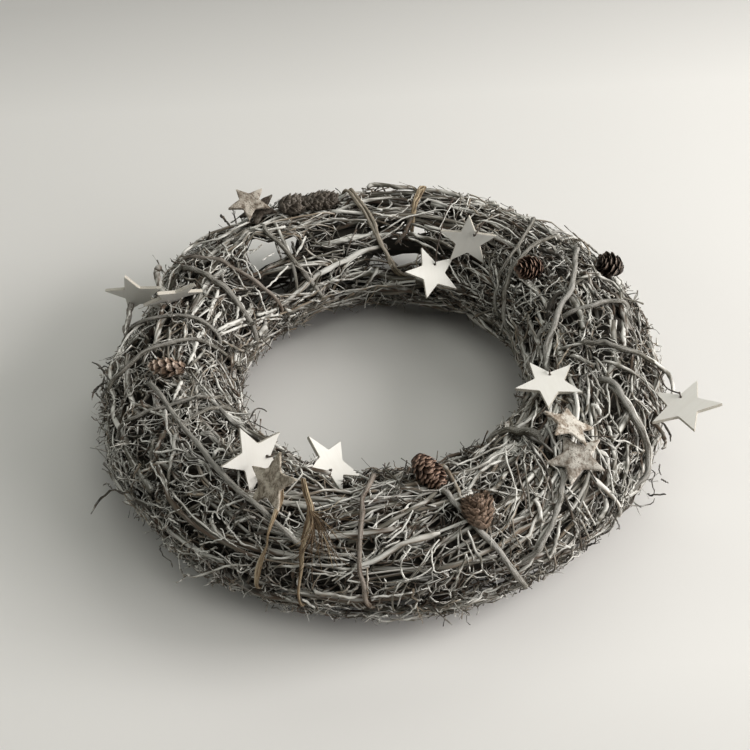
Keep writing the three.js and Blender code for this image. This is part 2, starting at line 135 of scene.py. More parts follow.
def scatter(n: Array, channel: float) -> Array:
    """Fixed scatter from 0 to 1: the fraction of sin(n * 12.9898 + channel * 78.233) * 43758.5453."""
    wave = np.sin(np.asarray(n) * 12.9898 + channel * 78.233) * 43758.5453
    return wave - np.floor(wave)


def unit(vectors: Array) -> Array:
    """Vectors divided by their lengths."""
    return vectors / np.maximum(np.linalg.norm(vectors, axis=-1, keepdims=True), 1e-12)


def facing(way: Array, up: Triple = (0.0, 0.0, 1.0)) -> Array:
    """Rows of a frame whose third axis is a direction and whose first lies across it and up."""
    side = unit(np.cross(up, way))
    return np.stack([side, np.cross(way, side), way])


def through(knots: Array, steps: int) -> Array:
    """Smooth curves through rows of knots.

    Between knots b and c, with neighbours a and d, the point is half of
    2b + (c - a)t + (2a - 5b + 4c - d)t^2 + (3b - a - 3c + d)t^3. The end knots are mirrored.

    Args:
        knots: Array of curves by knots by channels.
        steps: Number of steps along each curve.

    Returns:
        Array of curves by steps + 1 by channels.
    """
    first = 2 * knots[:, :1] - knots[:, 1:2]
    last = 2 * knots[:, -1:] - knots[:, -2:-1]
    padded = np.concatenate([first, knots, last], axis=1)
    spans = knots.shape[1] - 1
    at = np.linspace(0, spans, steps + 1)
    index = np.minimum(at.astype(int), spans - 1)
    t = (at - index)[None, :, None]
    a, b, c, d = (padded[:, index + j] for j in range(4))
    return 0.5 * (2 * b + (c - a) * t + (2 * a - 5 * b + 4 * c - d) * t**2 + (3 * b - a - 3 * c + d) * t**3)


def finer(path: Array) -> Array:
    """Curves with three more points between neighbours, at even shares."""
    share = np.array([0, 0.25, 0.5, 0.75])[None, None, :, None]
    step = np.diff(path, axis=1)[:, :, None]
    return (path[:, :-1, None] + share * step).reshape(len(path), -1, 3)


def channels(place: Array, *values: Array) -> Array:
    """Places with more values for each point behind their three."""
    return np.concatenate([place, np.stack(values, axis=-1)], axis=-1)


def frames(path: Array) -> tuple[Array, Array]:
    """Two directions across curves, carried along without twist.

    At each station the last across direction loses its part along the new tangent, and the
    second one is tangent x first.

    Args:
        path: Array of curves by stations by three.

    Returns:
        The two across directions, each in the shape of path.
    """
    tangent = unit(np.gradient(path, axis=1))
    across = np.empty_like(tangent)
    last = np.eye(3)[np.abs(tangent[:, 0]).argmin(axis=1)]
    for station in range(path.shape[1]):
        ahead = tangent[:, station]
        last = unit(last - ahead * (last * ahead).sum(-1, keepdims=True))
        across[:, station] = last
    return across, np.cross(tangent, across)


def sweep(path: Array, radius: Array, sides: int) -> tuple[Array, Array]:
    """Rings of points round curves: path + radius * (cos(a) * across + sin(a) * second).

    Args:
        path: Array of curves by stations by three.
        radius: Array of curves by stations.
        sides: Points in each ring.

    Returns:
        The rings, curves by stations by sides by three, and their outward directions.
    """
    across, second = frames(path)
    angle = np.linspace(0, 2 * np.pi, sides, endpoint=False)[:, None]
    outward = np.cos(angle) * across[:, :, None] + np.sin(angle) * second[:, :, None]
    return path[:, :, None] + radius[:, :, None, None] * outward, unit(outward)


# ---------------------------------------------------------------- meshes


def link(thing: bpy.types.Object) -> bpy.types.Object:
    """Puts an object in the scene."""
    bpy.context.scene.collection.objects.link(thing)
    return thing


@dataclass
class Soup:
    """Points and faces of one piece, gathered as whole arrays."""

    points: list[Array] = field(default_factory=list)
    corners: list[Array] = field(default_factory=list)
    counts: list[Array] = field(default_factory=list)
    wear: list[Array] = field(default_factory=list)
    grain: list[Array] = field(default_factory=list)
    skins: list[Array] = field(default_factory=list)
    size: int = 0

    def add_faces(self, faces: Array, skin: int) -> None:
        """Adds faces with one number of corners each, given by their points' numbers."""
        self.corners.append(faces.ravel() + self.size)
        self.counts.append(np.full(len(faces), faces.shape[1]))
        self.skins.append(np.full(len(faces), skin))

    def add_lofts(
        self,
        rings: Array,
        wear: Array | None = None,
        grain: Array | None = None,
        skin: int = 0,
        looped: bool = False,
        end_skin: int | None = None,
    ) -> None:
        """Adds closed bodies, each a row of rings with a wall between neighbours.

        Point k of ring s has the number (body * stations + s) * sides + k, and a wall face is
        (s, k), (s, k + 1), (s + 1, k + 1), (s + 1, k). Both ends are capped with one face, or
        the last ring joins the first one where the body is looped.

        Args:
            rings: Bodies by stations by sides by three, each ring counterclockwise from its front.
            wear: Two values for each point: tone and lime.
            grain: Three values for each point: its place on the unbent piece.
            skin: Material number of the walls.
            looped: Whether the stations close on themselves.
            end_skin: Material number of the caps, as the walls where it is None.
        """
        bodies, stations, sides = rings.shape[:3]
        if bodies == 0:
            return
        number = np.arange(bodies * stations * sides).reshape(bodies, stations, sides)
        ahead = np.roll(number, -1, axis=1) if looped else number[:, 1:]
        here = number if looped else number[:, :-1]
        walls = np.stack([here, np.roll(here, -1, 2), np.roll(ahead, -1, 2), ahead], axis=-1)
        self.add_faces(walls.reshape(-1, 4), skin)
        if not looped:
            caps = np.concatenate([number[:, 0, ::-1], number[:, -1]])
            self.add_faces(caps, skin if end_skin is None else end_skin)
        count = number.size
        self.points.append(rings.reshape(-1, 3))
        self.wear.append(np.zeros((count, 2)) if wear is None else wear.reshape(-1, 2))
        self.grain.append(np.zeros((count, 3)) if grain is None else grain.reshape(-1, 3))
        self.size += count

    def piece(
        self, name: str, materials: list[bpy.types.Material], wear_name: str = "wear", smooth: bool = True
    ) -> bpy.types.Object:
        """Makes the Blender object, with its place in its mesh.

        Args:
            name: The piece's name.
            materials: Materials by number.
            wear_name: Name of the UV map that holds tone and lime.
            smooth: Whether its faces are shaded smooth.

        Returns:
            The new object, linked to the scene.
        """
        points = np.concatenate(self.points) * MM
        corners = np.concatenate(self.corners).astype(np.int32)
        counts = np.concatenate(self.counts).astype(np.int32)
        mesh = bpy.data.meshes.new(name)
        mesh.vertices.add(len(points))
        mesh.vertices.foreach_set("co", points.astype(np.float32).ravel())
        mesh.loops.add(len(corners))
        mesh.loops.foreach_set("vertex_index", corners)
        mesh.polygons.add(len(counts))
        mesh.polygons.foreach_set("loop_start", (np.cumsum(counts) - counts).astype(np.int32))
        mesh.polygons.foreach_set("material_index", np.concatenate(self.skins).astype(np.int32))
        mesh.polygons.foreach_set("use_smooth", np.full(len(counts), smooth))
        mesh.update(calc_edges=True)
        wear = np.concatenate(self.wear)[corners].astype(np.float32)
        mesh.uv_layers.new(name=wear_name).data.foreach_set("uv", wear.ravel())
        grain = mesh.attributes.new("grain", "FLOAT_VECTOR", "POINT")
        grain.data.foreach_set("vector", np.concatenate(self.grain).astype(np.float32).ravel())
        mesh.validate()
        for material in materials:
            mesh.materials.append(material)
        return link(bpy.data.objects.new(name, mesh))


def settle(piece: bpy.types.Object, node: str) -> None:
    """Rides a piece on the wreath, hides the CAD node that it stands for, and logs it."""
    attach(piece, BODY)
    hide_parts(node)
    log.info("%s: %d faces, stands for %s", piece.name, len(piece.data.polygons), node)


# ---------------------------------------------------------------- materials


@dataclass
class Tree:
    """Lays nodes and links in a material or a group."""

    tree: bpy.types.NodeTree

    def node(self, kind: str, inputs: dict[str | int, object] | None = None, **settings: object) -> bpy.types.Node:
        """Adds a node.

        Args:
            kind: Type name after ShaderNode, or NodeGroupInput and the like in full.
            inputs: Values or sockets for its inputs, by name or number.
            settings: Attributes of the node.

        Returns:
            The node.
        """
        made = self.tree.nodes.new(kind if kind.startswith("NodeGroup") else f"ShaderNode{kind}")
        for key, value in settings.items():
            setattr(made, key, value)
        for key, value in (inputs or {}).items():
            if isinstance(value, Socket):
                self.tree.links.new(value, made.inputs[key])
            else:
                made.inputs[key].default_value = value
        return made

    def noise(self, vector: Socket, scale: float, detail: float = 3.0, rough: float = 0.55) -> Socket:
        """Noise value from 0 to 1 on a vector."""
        sent = {"Vector": vector, "Scale": scale, "Detail": detail, "Roughness": rough}
        return self.node("TexNoise", sent).outputs[0]

    def spread(self, value: Socket, low: float, high: float, to: Pair = (0.0, 1.0)) -> Socket:
        """Maps a value from low..high to a clamped range."""
        sent = {"Value": value, "From Min": low, "From Max": high, "To Min": to[0], "To Max": to[1]}
        return self.node("MapRange", sent).outputs[0]

    def mix(self, share: object, first: object, second: object) -> Socket:
        """Mixes two colours by a share."""
        made = self.node("Mix", {0: share}, data_type="RGBA")
        for key, value in ((6, first), (7, second)):
            if isinstance(value, Socket):
                self.tree.links.new(value, made.inputs[key])
            else:
                made.inputs[key].default_value = (*value, 1.0)
        return made.outputs[2]

    def maths(self, operation: str, first: object, second: object = 0.0) -> Socket:
        """One arithmetic step on two values."""
        return self.node("Math", {0: first, 1: second}, operation=operation).outputs[0]

    def ramp(self, value: Socket, stops: list[tuple[float, Colour]]) -> Socket:
        """Colour by a value between stops."""
        made = self.node("ValToRGB", {0: value})
        elements = made.color_ramp.elements
        while len(elements) < len(stops):
            elements.new(1.0)
        for element, (at, colour) in zip(elements, stops):
            element.position = at
            element.color = (*colour, 1.0)
        return made.outputs[0]

    def grain(self) -> Socket:
        """The piece's grain attribute, its place on the unbent piece."""
        return self.node("Attribute", attribute_name="grain").outputs["Vector"]

    def wear(self, part: int) -> Socket:
        """One value of the piece's wear map: 0 for tone, 1 for lime."""
        return self.node("SeparateXYZ", {0: self.node("UVMap", uv_map="wear").outputs[0]}).outputs[part]


def new_material(name: str) -> tuple[bpy.types.Material, Tree]:
    """A material with an empty node tree."""
    material = bpy.data.materials.new(name)
    material.use_nodes = True
    material.node_tree.nodes.clear()
    return material, Tree(material.node_tree)


def surface(
    tree: Tree,
    colour: object,
    roughness: object,
    specular: float,
    height: Socket | None = None,
    depth: float = 0.0,
) -> None:
    """Ends a material in a Principled shader.

    Args:
        tree: The material's tree.
        colour: Base colour or its socket.
        roughness: Roughness or its socket.
        specular: Specular level.
        height: Relief for a bump, from 0 to 1.
        depth: Height of the relief in millimetres.
    """
    base = colour if isinstance(colour, Socket) else (*colour, 1.0)
    sent = {"Base Color": base, "Roughness": roughness, "Specular IOR Level": specular}
    if height is not None:
        sent["Normal"] = tree.node("Bump", {"Height": height, "Strength": 1.0, "Distance": depth * MM}).outputs[0]
    shader = tree.node("BsdfPrincipled", sent)
    tree.node("OutputMaterial", {"Surface": shader.outputs[0]})


def fibre_group() -> bpy.types.ShaderNodeTree:
    """Group for bark and fibre: streaks that run along a piece and small pits between them.

    The streaks are noise on the grain vector, which is squeezed along the piece by Stretch. The
    pits are a finer noise on the same vector, unsqueezed.
    """
    group = bpy.data.node_groups.new("bark_fibre", "ShaderNodeTree")
    sockets = (("Grain", "INPUT", "Vector"), ("Scale", "INPUT", "Float"), ("Stretch", "INPUT", "Float"),
               ("Streaks", "OUTPUT", "Float"), ("Pits", "OUTPUT", "Float"))
    for name, way, kind in sockets:
        group.interface.new_socket(name, in_out=way, socket_type=f"NodeSocket{kind}")
    tree = Tree(group)
    given = tree.node("NodeGroupInput")
    parts = tree.node("SeparateXYZ", {0: given.outputs["Grain"]})
    along = tree.maths("MULTIPLY", parts.outputs[0], given.outputs["Stretch"])
    squeezed = tree.node("CombineXYZ", {0: along, 1: parts.outputs[1], 2: parts.outputs[2]})
    streaks = tree.node("TexNoise", {"Vector": squeezed.outputs[0], "Scale": given.outputs["Scale"], "Detail": 4.0})
    pit_scale = tree.maths("MULTIPLY", given.outputs["Scale"], 1.7)
    pits = tree.node("TexNoise", {"Vector": given.outputs["Grain"], "Scale": pit_scale, "Detail": 2.0})
    tree.node("NodeGroupOutput", {"Streaks": streaks.outputs[0], "Pits": pits.outputs[0]})
    return group


FIBRE = fibre_group()


def fibre(tree: Tree, scale: float, stretch: float) -> tuple[Socket, Socket]:
    """Streaks and pits of the fibre group on the piece's grain."""
    made = tree.node("Group", {"Grain": tree.grain(), "Scale": scale, "Stretch": stretch}, node_tree=FIBRE)
    return made.outputs["Streaks"], made.outputs["Pits"]


@dataclass(frozen=True)
class TwigFinish:
    """Dry twigs under a worn wash of lime: all colour follows tone and lime."""

    # the darkest stops are also the painted shade of the core and of the deep twigs
    shades: tuple[tuple[float, Colour], ...] = (
        (0.0, (0.045, 0.041, 0.035)),
        (0.18, (0.074, 0.067, 0.056)),
        (0.34, (0.115, 0.082, 0.06)),
        (0.5, (0.125, 0.118, 0.094)),
        (0.68, (0.19, 0.178, 0.152)),
        (0.84, (0.25, 0.20, 0.15)),
        (1.0, (0.34, 0.29, 0.22)),
    )
    lime: Colour = (0.76, 0.75, 0.70)
    bare: float = 0.22
    limed: float = 0.66
    roughness: float = 0.88
    specular: float = 0.2

    def material(self) -> bpy.types.Material:
        """Base colour is a ramp over tone, from dark, also the painted shade's colour, through brown, olive and grey
        to tan, mixed to lime.
        """
        material, tree = new_material("limed_twig")
        wear = tree.node("UVMap", uv_map="OFBake").outputs[0]
        parts = tree.node("SeparateXYZ", {0: wear})
        bark = tree.ramp(parts.outputs[0], list(self.shades))
        cover = tree.spread(parts.outputs[1], self.bare, self.limed)
        surface(tree, tree.mix(cover, bark, self.lime), self.roughness, self.specular)
        return material


@dataclass(frozen=True)
class StickFinish:
    """Bark of a vine or stick with its streaks, under a worn wash of lime."""

    name: str
    dark: Colour
    light: Colour
    lime: Colour = (0.50, 0.49, 0.462)
    cover: float = 0.5
    relief: float = 0.8

    def material(self) -> bpy.types.Material:
        """Streaks mix the two bark colours, and lime lies where wear, streaks and pits allow it."""
        material, tree = new_material(self.name)
        streaks, pits = fibre(tree, 0.9, 0.16)
        bark = tree.mix(tree.spread(streaks, 0.32, 0.68), self.dark, self.light)
        worn = tree.maths("ADD", tree.spread(pits, 0.3, 0.7, (-0.35, 0.35)), tree.wear(1))
        worn = tree.maths("ADD", tree.spread(streaks, 0.3, 0.7, (-0.3, 0.3)), worn)
        cover = tree.spread(worn, 0.3, 0.75, (0.0, self.cover))
        colour = tree.mix(cover, bark, self.lime)
        relief = tree.maths("ADD", tree.maths("MULTIPLY", streaks, 0.7), tree.maths("MULTIPLY", pits, 0.3))
        surface(tree, colour, 0.84, 0.22, relief, self.relief)
        return material


@dataclass(frozen=True)
class CutEndFinish:
    """Sawn end of a stick: pale wood."""

    wood: Colour = (0.42, 0.37, 0.29)
    ring: Colour = (0.27, 0.22, 0.16)

    def material(self) -> bpy.types.Material:
        """Noise mixes the wood's two colours."""
        material, tree = new_material("cut_end")
        surface(tree, tree.mix(tree.noise(tree.grain(), 1.3), self.wood, self.ring), 0.8, 0.2)
        return material


@dataclass(frozen=True)
class PaintedWoodFinish:
    """White paint on thin sawn wood, with the grain just showing through."""

    paint: Colour = (0.86, 0.845, 0.79)
    shade: Colour = (0.78, 0.755, 0.69)

    def material(self) -> bpy.types.Material:
        """Long streaks and faint clouds shade the paint, and the streaks give a low relief."""
        material, tree = new_material("white_paint")
        streaks, _ = fibre(tree, 0.55, 0.07)
        clouds = tree.noise(tree.grain(), 0.09)
        shade = tree.maths("MULTIPLY", tree.spread(streaks, 0.42, 0.75), 0.35)
        shade = tree.maths("ADD", shade, tree.spread(clouds, 0.45, 0.75, (0.0, 0.25)))
        colour = tree.mix(shade, self.paint, self.shade)
        surface(tree, colour, 0.6, 0.3, streaks, 0.03)
        return material


@dataclass(frozen=True)
class SawnEdgeFinish:
    """Bare sawn edge of a wooden star, thinly painted."""

    wood: Colour = (0.42, 0.375, 0.30)
    paint: Colour = (0.66, 0.64, 0.58)

    def material(self) -> bpy.types.Material:
        """Fine noise mixes bare wood and paint."""
        material, tree = new_material("sawn_edge")
        _, pits = fibre(tree, 1.6, 0.5)
        colour = tree.mix(tree.spread(pits, 0.35, 0.65), self.wood, self.paint)
        surface(tree, colour, 0.75, 0.25, pits, 0.15)
        return material


@dataclass(frozen=True)
class BarkFinish:
    """Rough bark of a cut star: two bark colours, lichen or lime on top and dark speckles."""

    name: str
    dark: Colour
    light: Colour
    bloom: Colour
    bloom_share: float
    speckle: float
    relief: float = 1.0

    def material(self) -> bpy.types.Material:
        """Clouds mix the barks, a threshold on other clouds lays the bloom, and spots darken it."""
        material, tree = new_material(self.name)
        streaks, pits = fibre(tree, 0.7, 0.45)
        grain = tree.grain()
        clouds = tree.noise(grain, 0.16, 4.0, 0.65)
        bark = tree.mix(tree.spread(streaks, 0.35, 0.65), self.dark, self.light)
        low = 0.62 - 0.3 * self.bloom_share
        bloom = tree.spread(clouds, low, low + 0.14)
        colour = tree.mix(bloom, bark, self.bloom)
        spots = tree.spread(tree.noise(grain, 0.62, 2.0), 0.60, 0.68, (0.0, self.speckle))
        colour = tree.mix(spots, colour, self.dark)
        height = tree.maths("ADD", tree.maths("MULTIPLY", pits, 0.6), tree.maths("MULTIPLY", clouds, 0.4))
        surface(tree, colour, 0.9, 0.15, height, self.relief)
        return material


@dataclass(frozen=True)
class ConeFinish:
    """Woody scales of a larch cone, lighter at their rims and darkened towards their roots as painted shade."""

    name: str
    dark: Colour
    light: Colour
    rim: Colour

    def material(self) -> bpy.types.Material:
        """Tone runs from the scale's root, darkened there as painted shade, to its rim, over streaks that run out to
        the rim.
        """
        material, tree = new_material(self.name)
        tone = tree.wear(0)
        streaks, _ = fibre(tree, 1.5, 0.3)
        body = tree.mix(tree.spread(streaks, 0.35, 0.65), self.dark, self.light)
        # painted shade: each scale darkens towards its root, deep among the others
        inner = tree.mix(tree.spread(tone, 0.15, 0.75), self.dark, body)
        colour = tree.mix(tree.spread(tone, 0.86, 0.97), inner, self.rim)
        surface(tree, colour, 0.5, 0.4, streaks, 0.25)
        return material


@dataclass(frozen=True)
class BastFinish:
    """Raw bast fibre: tan strands with darker and golden ones among them."""

    name: str = "raw_bast"
    dark: Colour = (0.075, 0.048, 0.028)
    middle: Colour = (0.22, 0.155, 0.092)
    light: Colour = (0.60, 0.50, 0.35)

    def material(self) -> bpy.types.Material:
        """A ramp over tone gives each strand its colour, and streaks vary it."""
        material, tree = new_material(self.name)
        streaks, _ = fibre(tree, 1.8, 0.12)
        moved = tree.maths("ADD", tree.wear(0), tree.spread(streaks, 0.3, 0.7, (-0.22, 0.22)))
        colour = tree.ramp(moved, [(0.0, self.dark), (0.5, self.middle), (1.0, self.light)])
        surface(tree, colour, 0.75, 0.25, streaks, 0.2)
        return material


@dataclass(frozen=True)
class WireFinish:
    """Dark annealed binding wire with rust spots."""

    steel: Colour = (0.055, 0.048, 0.042)
    rust: Colour = (0.12, 0.065, 0.035)

    def material(self) -> bpy.types.Material:
        """Noise mixes steel and rust."""
        material, tree = new_material("binding_wire")
        _, pits = fibre(tree, 1.2, 0.4)
        colour = tree.mix(tree.spread(pits, 0.45, 0.7), self.steel, self.rust)
        surface(tree, colour, 0.55, 0.4, pits, 0.05)
        return material


# ---------------------------------------------------------------- twigs


@dataclass
class Strands:
    """Twigs of one make: knots with place, radius, tone and lime, and how they are swept.

    Every twig's skin is knobbly by a share of its radius, and tone and lime vary over it by their
    spreads, with more lime where it looks up.
    """

    knots: Array
    sides: int
    steps: int
    thinnest: ClassVar[float] = 0.2
    knobs: ClassVar[float] = 0.1
    tone_spread: ClassVar[float] = 0.09
    lime_spread: ClassVar[float] = 0.17
    lime_upward: ClassVar[float] = 0.30

    def rows(self) -> Array:
        """Middle ring angle of each twig, in degrees from 0 to 360."""
        middle = self.knots[:, self.knots.shape[1] // 2, :2] - np.array(RING.middle)
        return np.degrees(np.arctan2(middle[:, 1], middle[:, 0])) % 360

    def smoothed(self) -> Array:
        """The knots' channels at every station of the sweep, kept above the floor."""
        smooth = self.knots if self.steps == self.knots.shape[1] - 1 else through(self.knots, self.steps)
        smooth = smooth.copy()
        smooth[..., 3] = np.maximum(smooth[..., 3], self.thinnest)
        smooth[..., 2] = np.maximum(smooth[..., 2], smooth[..., 3] + FLOOR_GAP)
        return smooth

    def swept(self, rng: Draws, smooth: Array) -> tuple[Array, Array]:
        """Rings and wear of smoothed twigs."""
        rings, outward = sweep(smooth[..., :3], smooth[..., 3], self.sides)
        shape = rings.shape[:3]
        knobs = smooth[:, :, None, 3] * rng.normal(0, self.knobs, shape)
        rings = rings + knobs[..., None] * outward
        rings[..., 2] = np.maximum(rings[..., 2], FLOOR_GAP)
        tone = smooth[:, :, None, 4] + rng.normal(0, self.tone_spread, shape)
        lime = smooth[:, :, None, 5] + self.lime_upward * outward[..., 2] + rng.normal(0, self.lime_spread, shape)
        return rings, np.clip(np.stack([tone, lime], axis=-1), 0.005, 0.995)


@dataclass(frozen=True)
class Weave:
    """One make of twig: how many, how long and thick, and how they lie on the tube.

    Shares holds the crowding at every 30 degrees round the ring from 0, over the span of
    tube angles, lift the span of heights, spread the heading's scatter in degrees off the ring's
    line, curl its change that adds up from knot to knot and kink the one that doesn't, climb the
    rise for each millimetre, sway the wander in height, shoots the number of side shoots on each
    twig, limes the lime at every 30 degrees, aim the share of the region's own heading, knob the
    share by which the radius varies from knot to knot, hank the number that lie side by side, tuck
    the depth to which both ends sink and raised how far up the near side's lowest ones move.
    """

    count: int
    shares: tuple[float, ...]
    over: Pair
    lift: Pair
    length: Pair
    radius: Pair
    spread: float
    curl: float
    kink: float
    climb: Pair
    sway: float
    tone: Pair
    limes: tuple[float, ...]
    knots: int = 9
    sides: int = 4
    steps: int = 8
    taper: float = 0.55
    shoots: int = 0
    shoot_length: float = 0.45
    aim: float = 1.0
    knob: float = 0.15
    hank: int = 1
    tuck: float = 0.0
    raised: float = 0.0


@dataclass(frozen=True)
class Clearing:
    """A flat shape that no twig may hide from the eye, such as a star's face.

    Only what stands no further behind its plane and in front of it than those two distances, in
    millimetres, counts as hiding it.
    """

    centre: Array
    basis: Array
    radius: float
    notch: float
    eye: Array
    behind: float = 0.8
    front: float = 70.0

    def reach(self, angle: Array) -> Array:
        """Outline at an angle: the straight edge from a tip to the next notch, or a circle."""
        if self.notch >= 1:
            return np.full_like(angle, self.radius)
        turn = np.abs((angle + np.pi / 5) % (2 * np.pi / 5) - np.pi / 5)
        inner = self.notch * np.sin(np.pi / 5)
        slope = self.notch * np.cos(np.pi / 5) - 1
        return self.radius * inner / (inner * np.cos(turn) - slope * np.sin(turn))

    def hidden_by(self, path: Array) -> Array:
        """Which curves pass in front of the shape, seen from the eye, tested four times a step.

        The line from the eye through a point meets the shape's plane at eye + (point - eye) * e /
        (e - p), where e and p are their heights off the plane.
        """
        point = (finer(path) - self.centre) @ self.basis.T
        eye = self.basis @ (self.eye - self.centre)
        height, top = point[..., 2] * np.sign(eye[2]), abs(eye[2])
        scale = top / np.maximum(top - height, 1e-6)
        flat = eye[:2] + (point[..., :2] - eye[:2]) * scale[..., None]
        inside = np.hypot(flat[..., 0], flat[..., 1]) < self.reach(np.arctan2(flat[..., 1], flat[..., 0]))
        return (inside & (height > -self.behind) & (height < self.front)).any(axis=1)


@dataclass(frozen=True)
class Opening:
    """A gap that the eye sees between the twigs.

    It has its middle as ring angle and tube angle and its half width and half height across the
    line of sight, in millimetres. Where through is set, it goes through the whole tube, its reach
    to either side of its middle, and no twig crosses its clear share. Elsewhere only the outer
    twigs part: the move fades out over the fade from the skin's depth on, and ends that far behind.
    """

    around: float
    over: float
    width: float
    height: float
    through: bool = False
    clear: float = 0.78
    reach: float = 130.0
    skin: float = 16.0
    fade: float = 6.0
    behind: float = 34.0

    def seen(self, points: Array, eye: Array) -> tuple[Array, Array, Array, Array]:
        """Points in the gap's own frame, their distance in half sizes, the frame and its middle.

        The distance is that of an ellipse times 1 + two sines of three and five times the way round
        it, so that no gap is round.
        """
        centre = RING.place(self.around, self.over, 0.0)
        basis = facing(unit(eye - centre))
        local = (points - centre) @ basis.T
        top = np.linalg.norm(eye - centre)
        scale = top / np.maximum(top - local[..., 2], 1.0)
        x, y = local[..., 0] * scale / self.width, local[..., 1] * scale / self.height
        turn = np.arctan2(y, x)
        lobes = 1 + 0.2 * np.sin(3 * turn + self.around) + 0.16 * np.sin(5 * turn + self.over)
        return local, np.hypot(x, y) * lobes, basis, centre

    def crossed_by(self, path: Array, eye: Array) -> Array:
        """Which curves cross the gap's clear middle."""
        local, far, _, _ = self.seen(finer(path), eye)
        return ((far < self.clear) & (np.abs(local[..., 2]) < self.reach)).any(axis=1)

    def part(self, points: Array, eye: Array) -> Array:
        """Points pushed sideways out of the gap.

        The distance r from the line of sight, in half sizes, becomes (1 + r^4)^(1/4), so a point
        near the middle moves to the rim and a far one hardly moves. Only a share of that move is
        made where a point lies deep in the tube, unless the gap goes through it.

        Args:
            points: Points with a last axis of three.
            eye: Where the gap is seen from.

        Returns:
            The moved points.
        """
        local, far, basis, centre = self.seen(points, eye)
        grown = (1 + far**4) ** 0.25 / np.maximum(far, 0.02)
        if self.through:
            share = (np.abs(local[..., 2]) < self.reach) * 1.0
        else:
            share = np.clip((RING.depth(points) + self.skin) / self.fade, 0, 1) * (local[..., 2] > -self.behind)
        local[..., :2] *= (1 + share * (grown - 1))[..., None]
        return local @ basis + centre


@dataclass(frozen=True)
class Waist:
    """A place where the ring is bound thinner.

    It has its middle as ring angle and tube angle, its spread in both, in degrees, its depth and
    the distance from the middle circle within which it fades out, in millimetres.
    """

    around: float
    over: float
    long: float
    high: float
    depth: float
    fade: float = 26.0

    def drawn_in(self, points: Array) -> Array:
        """Points moved towards the tube's middle circle by a smooth hill of both angles.

        The move is depth * exp(-(a^2 + o^2) / 2), where a and o are the angles from the middle over
        the spreads.
        """
        flat = points[..., :2] - np.array(RING.middle)
        reach = np.linalg.norm(flat, axis=-1)
        turn = np.degrees(np.arctan2(flat[..., 1], flat[..., 0]))
        rise = np.degrees(np.arctan2(points[..., 2] - RING.half_height, reach - RING.radius))
        along = ((turn - self.around + 180) % 360 - 180) / self.long
        aside = ((rise - self.over + 180) % 360 - 180) / self.high
        share = np.clip((RING.depth(points) + RING.half_mean) / self.fade, 0, 1)
        move = self.depth * share * np.exp(-(along**2 + aside**2) / 2)
        return points - RING.outward(points) * move[..., None]


TWELFTHS = np.arange(13) * 30.0
EVEN = (1.0,) * 12
# values every 30 degrees round the ring: crowding of canes and of twiglets, lime, and heading in degrees
#        0    30   60   90   120  150  180  210  240  270  300  330
THICK = (1.0, 0.4, 1.2, 1.8, 1.1, 0.5, 0.5, 0.6, 1.2, 1.8, 1.6, 1.8)
FINE = (1.2, 1.4, 0.6, 0.25, 0.4, 1.0, 1.5, 1.7, 1.2, 1.2, 1.3, 0.9)
PALE = (0.32, 0.28, 0.25, 0.28, 0.21, 0.31, 0.25, 0.35, 0.28, 0.26, 0.25, 0.32)
AIMS = (0.0, 0.0, -8.0, 12.0, 0.0, -5.0, 12.0, 0.0, 5.0, 30.0, 50.0, 50.0)
DULL = tuple(0.62 * value for value in PALE)
WORN = tuple(0.82 * value for value in PALE)
DIM = tuple(0.1 * value for value in PALE)
# see-through places of the far side, where the core sinks: from and to as ring angles, and how deep
OPEN = ((70, 95, 36.0), (109, 142, 36.0))


class Look(Enum):
    """Tone and lime of a single twig."""

    PALE = (0.7, 0.5)
    GREY = (0.62, 0.26)
    MOSS = (0.5, 0.16)
    BROWN = (0.34, 0.12)
    DARK = (0.14, 0.0)
    TAN = (0.86, 0.14)
    SPECKLED = (0.42, 0.32)


P, G, M, B, D, T, S = Look
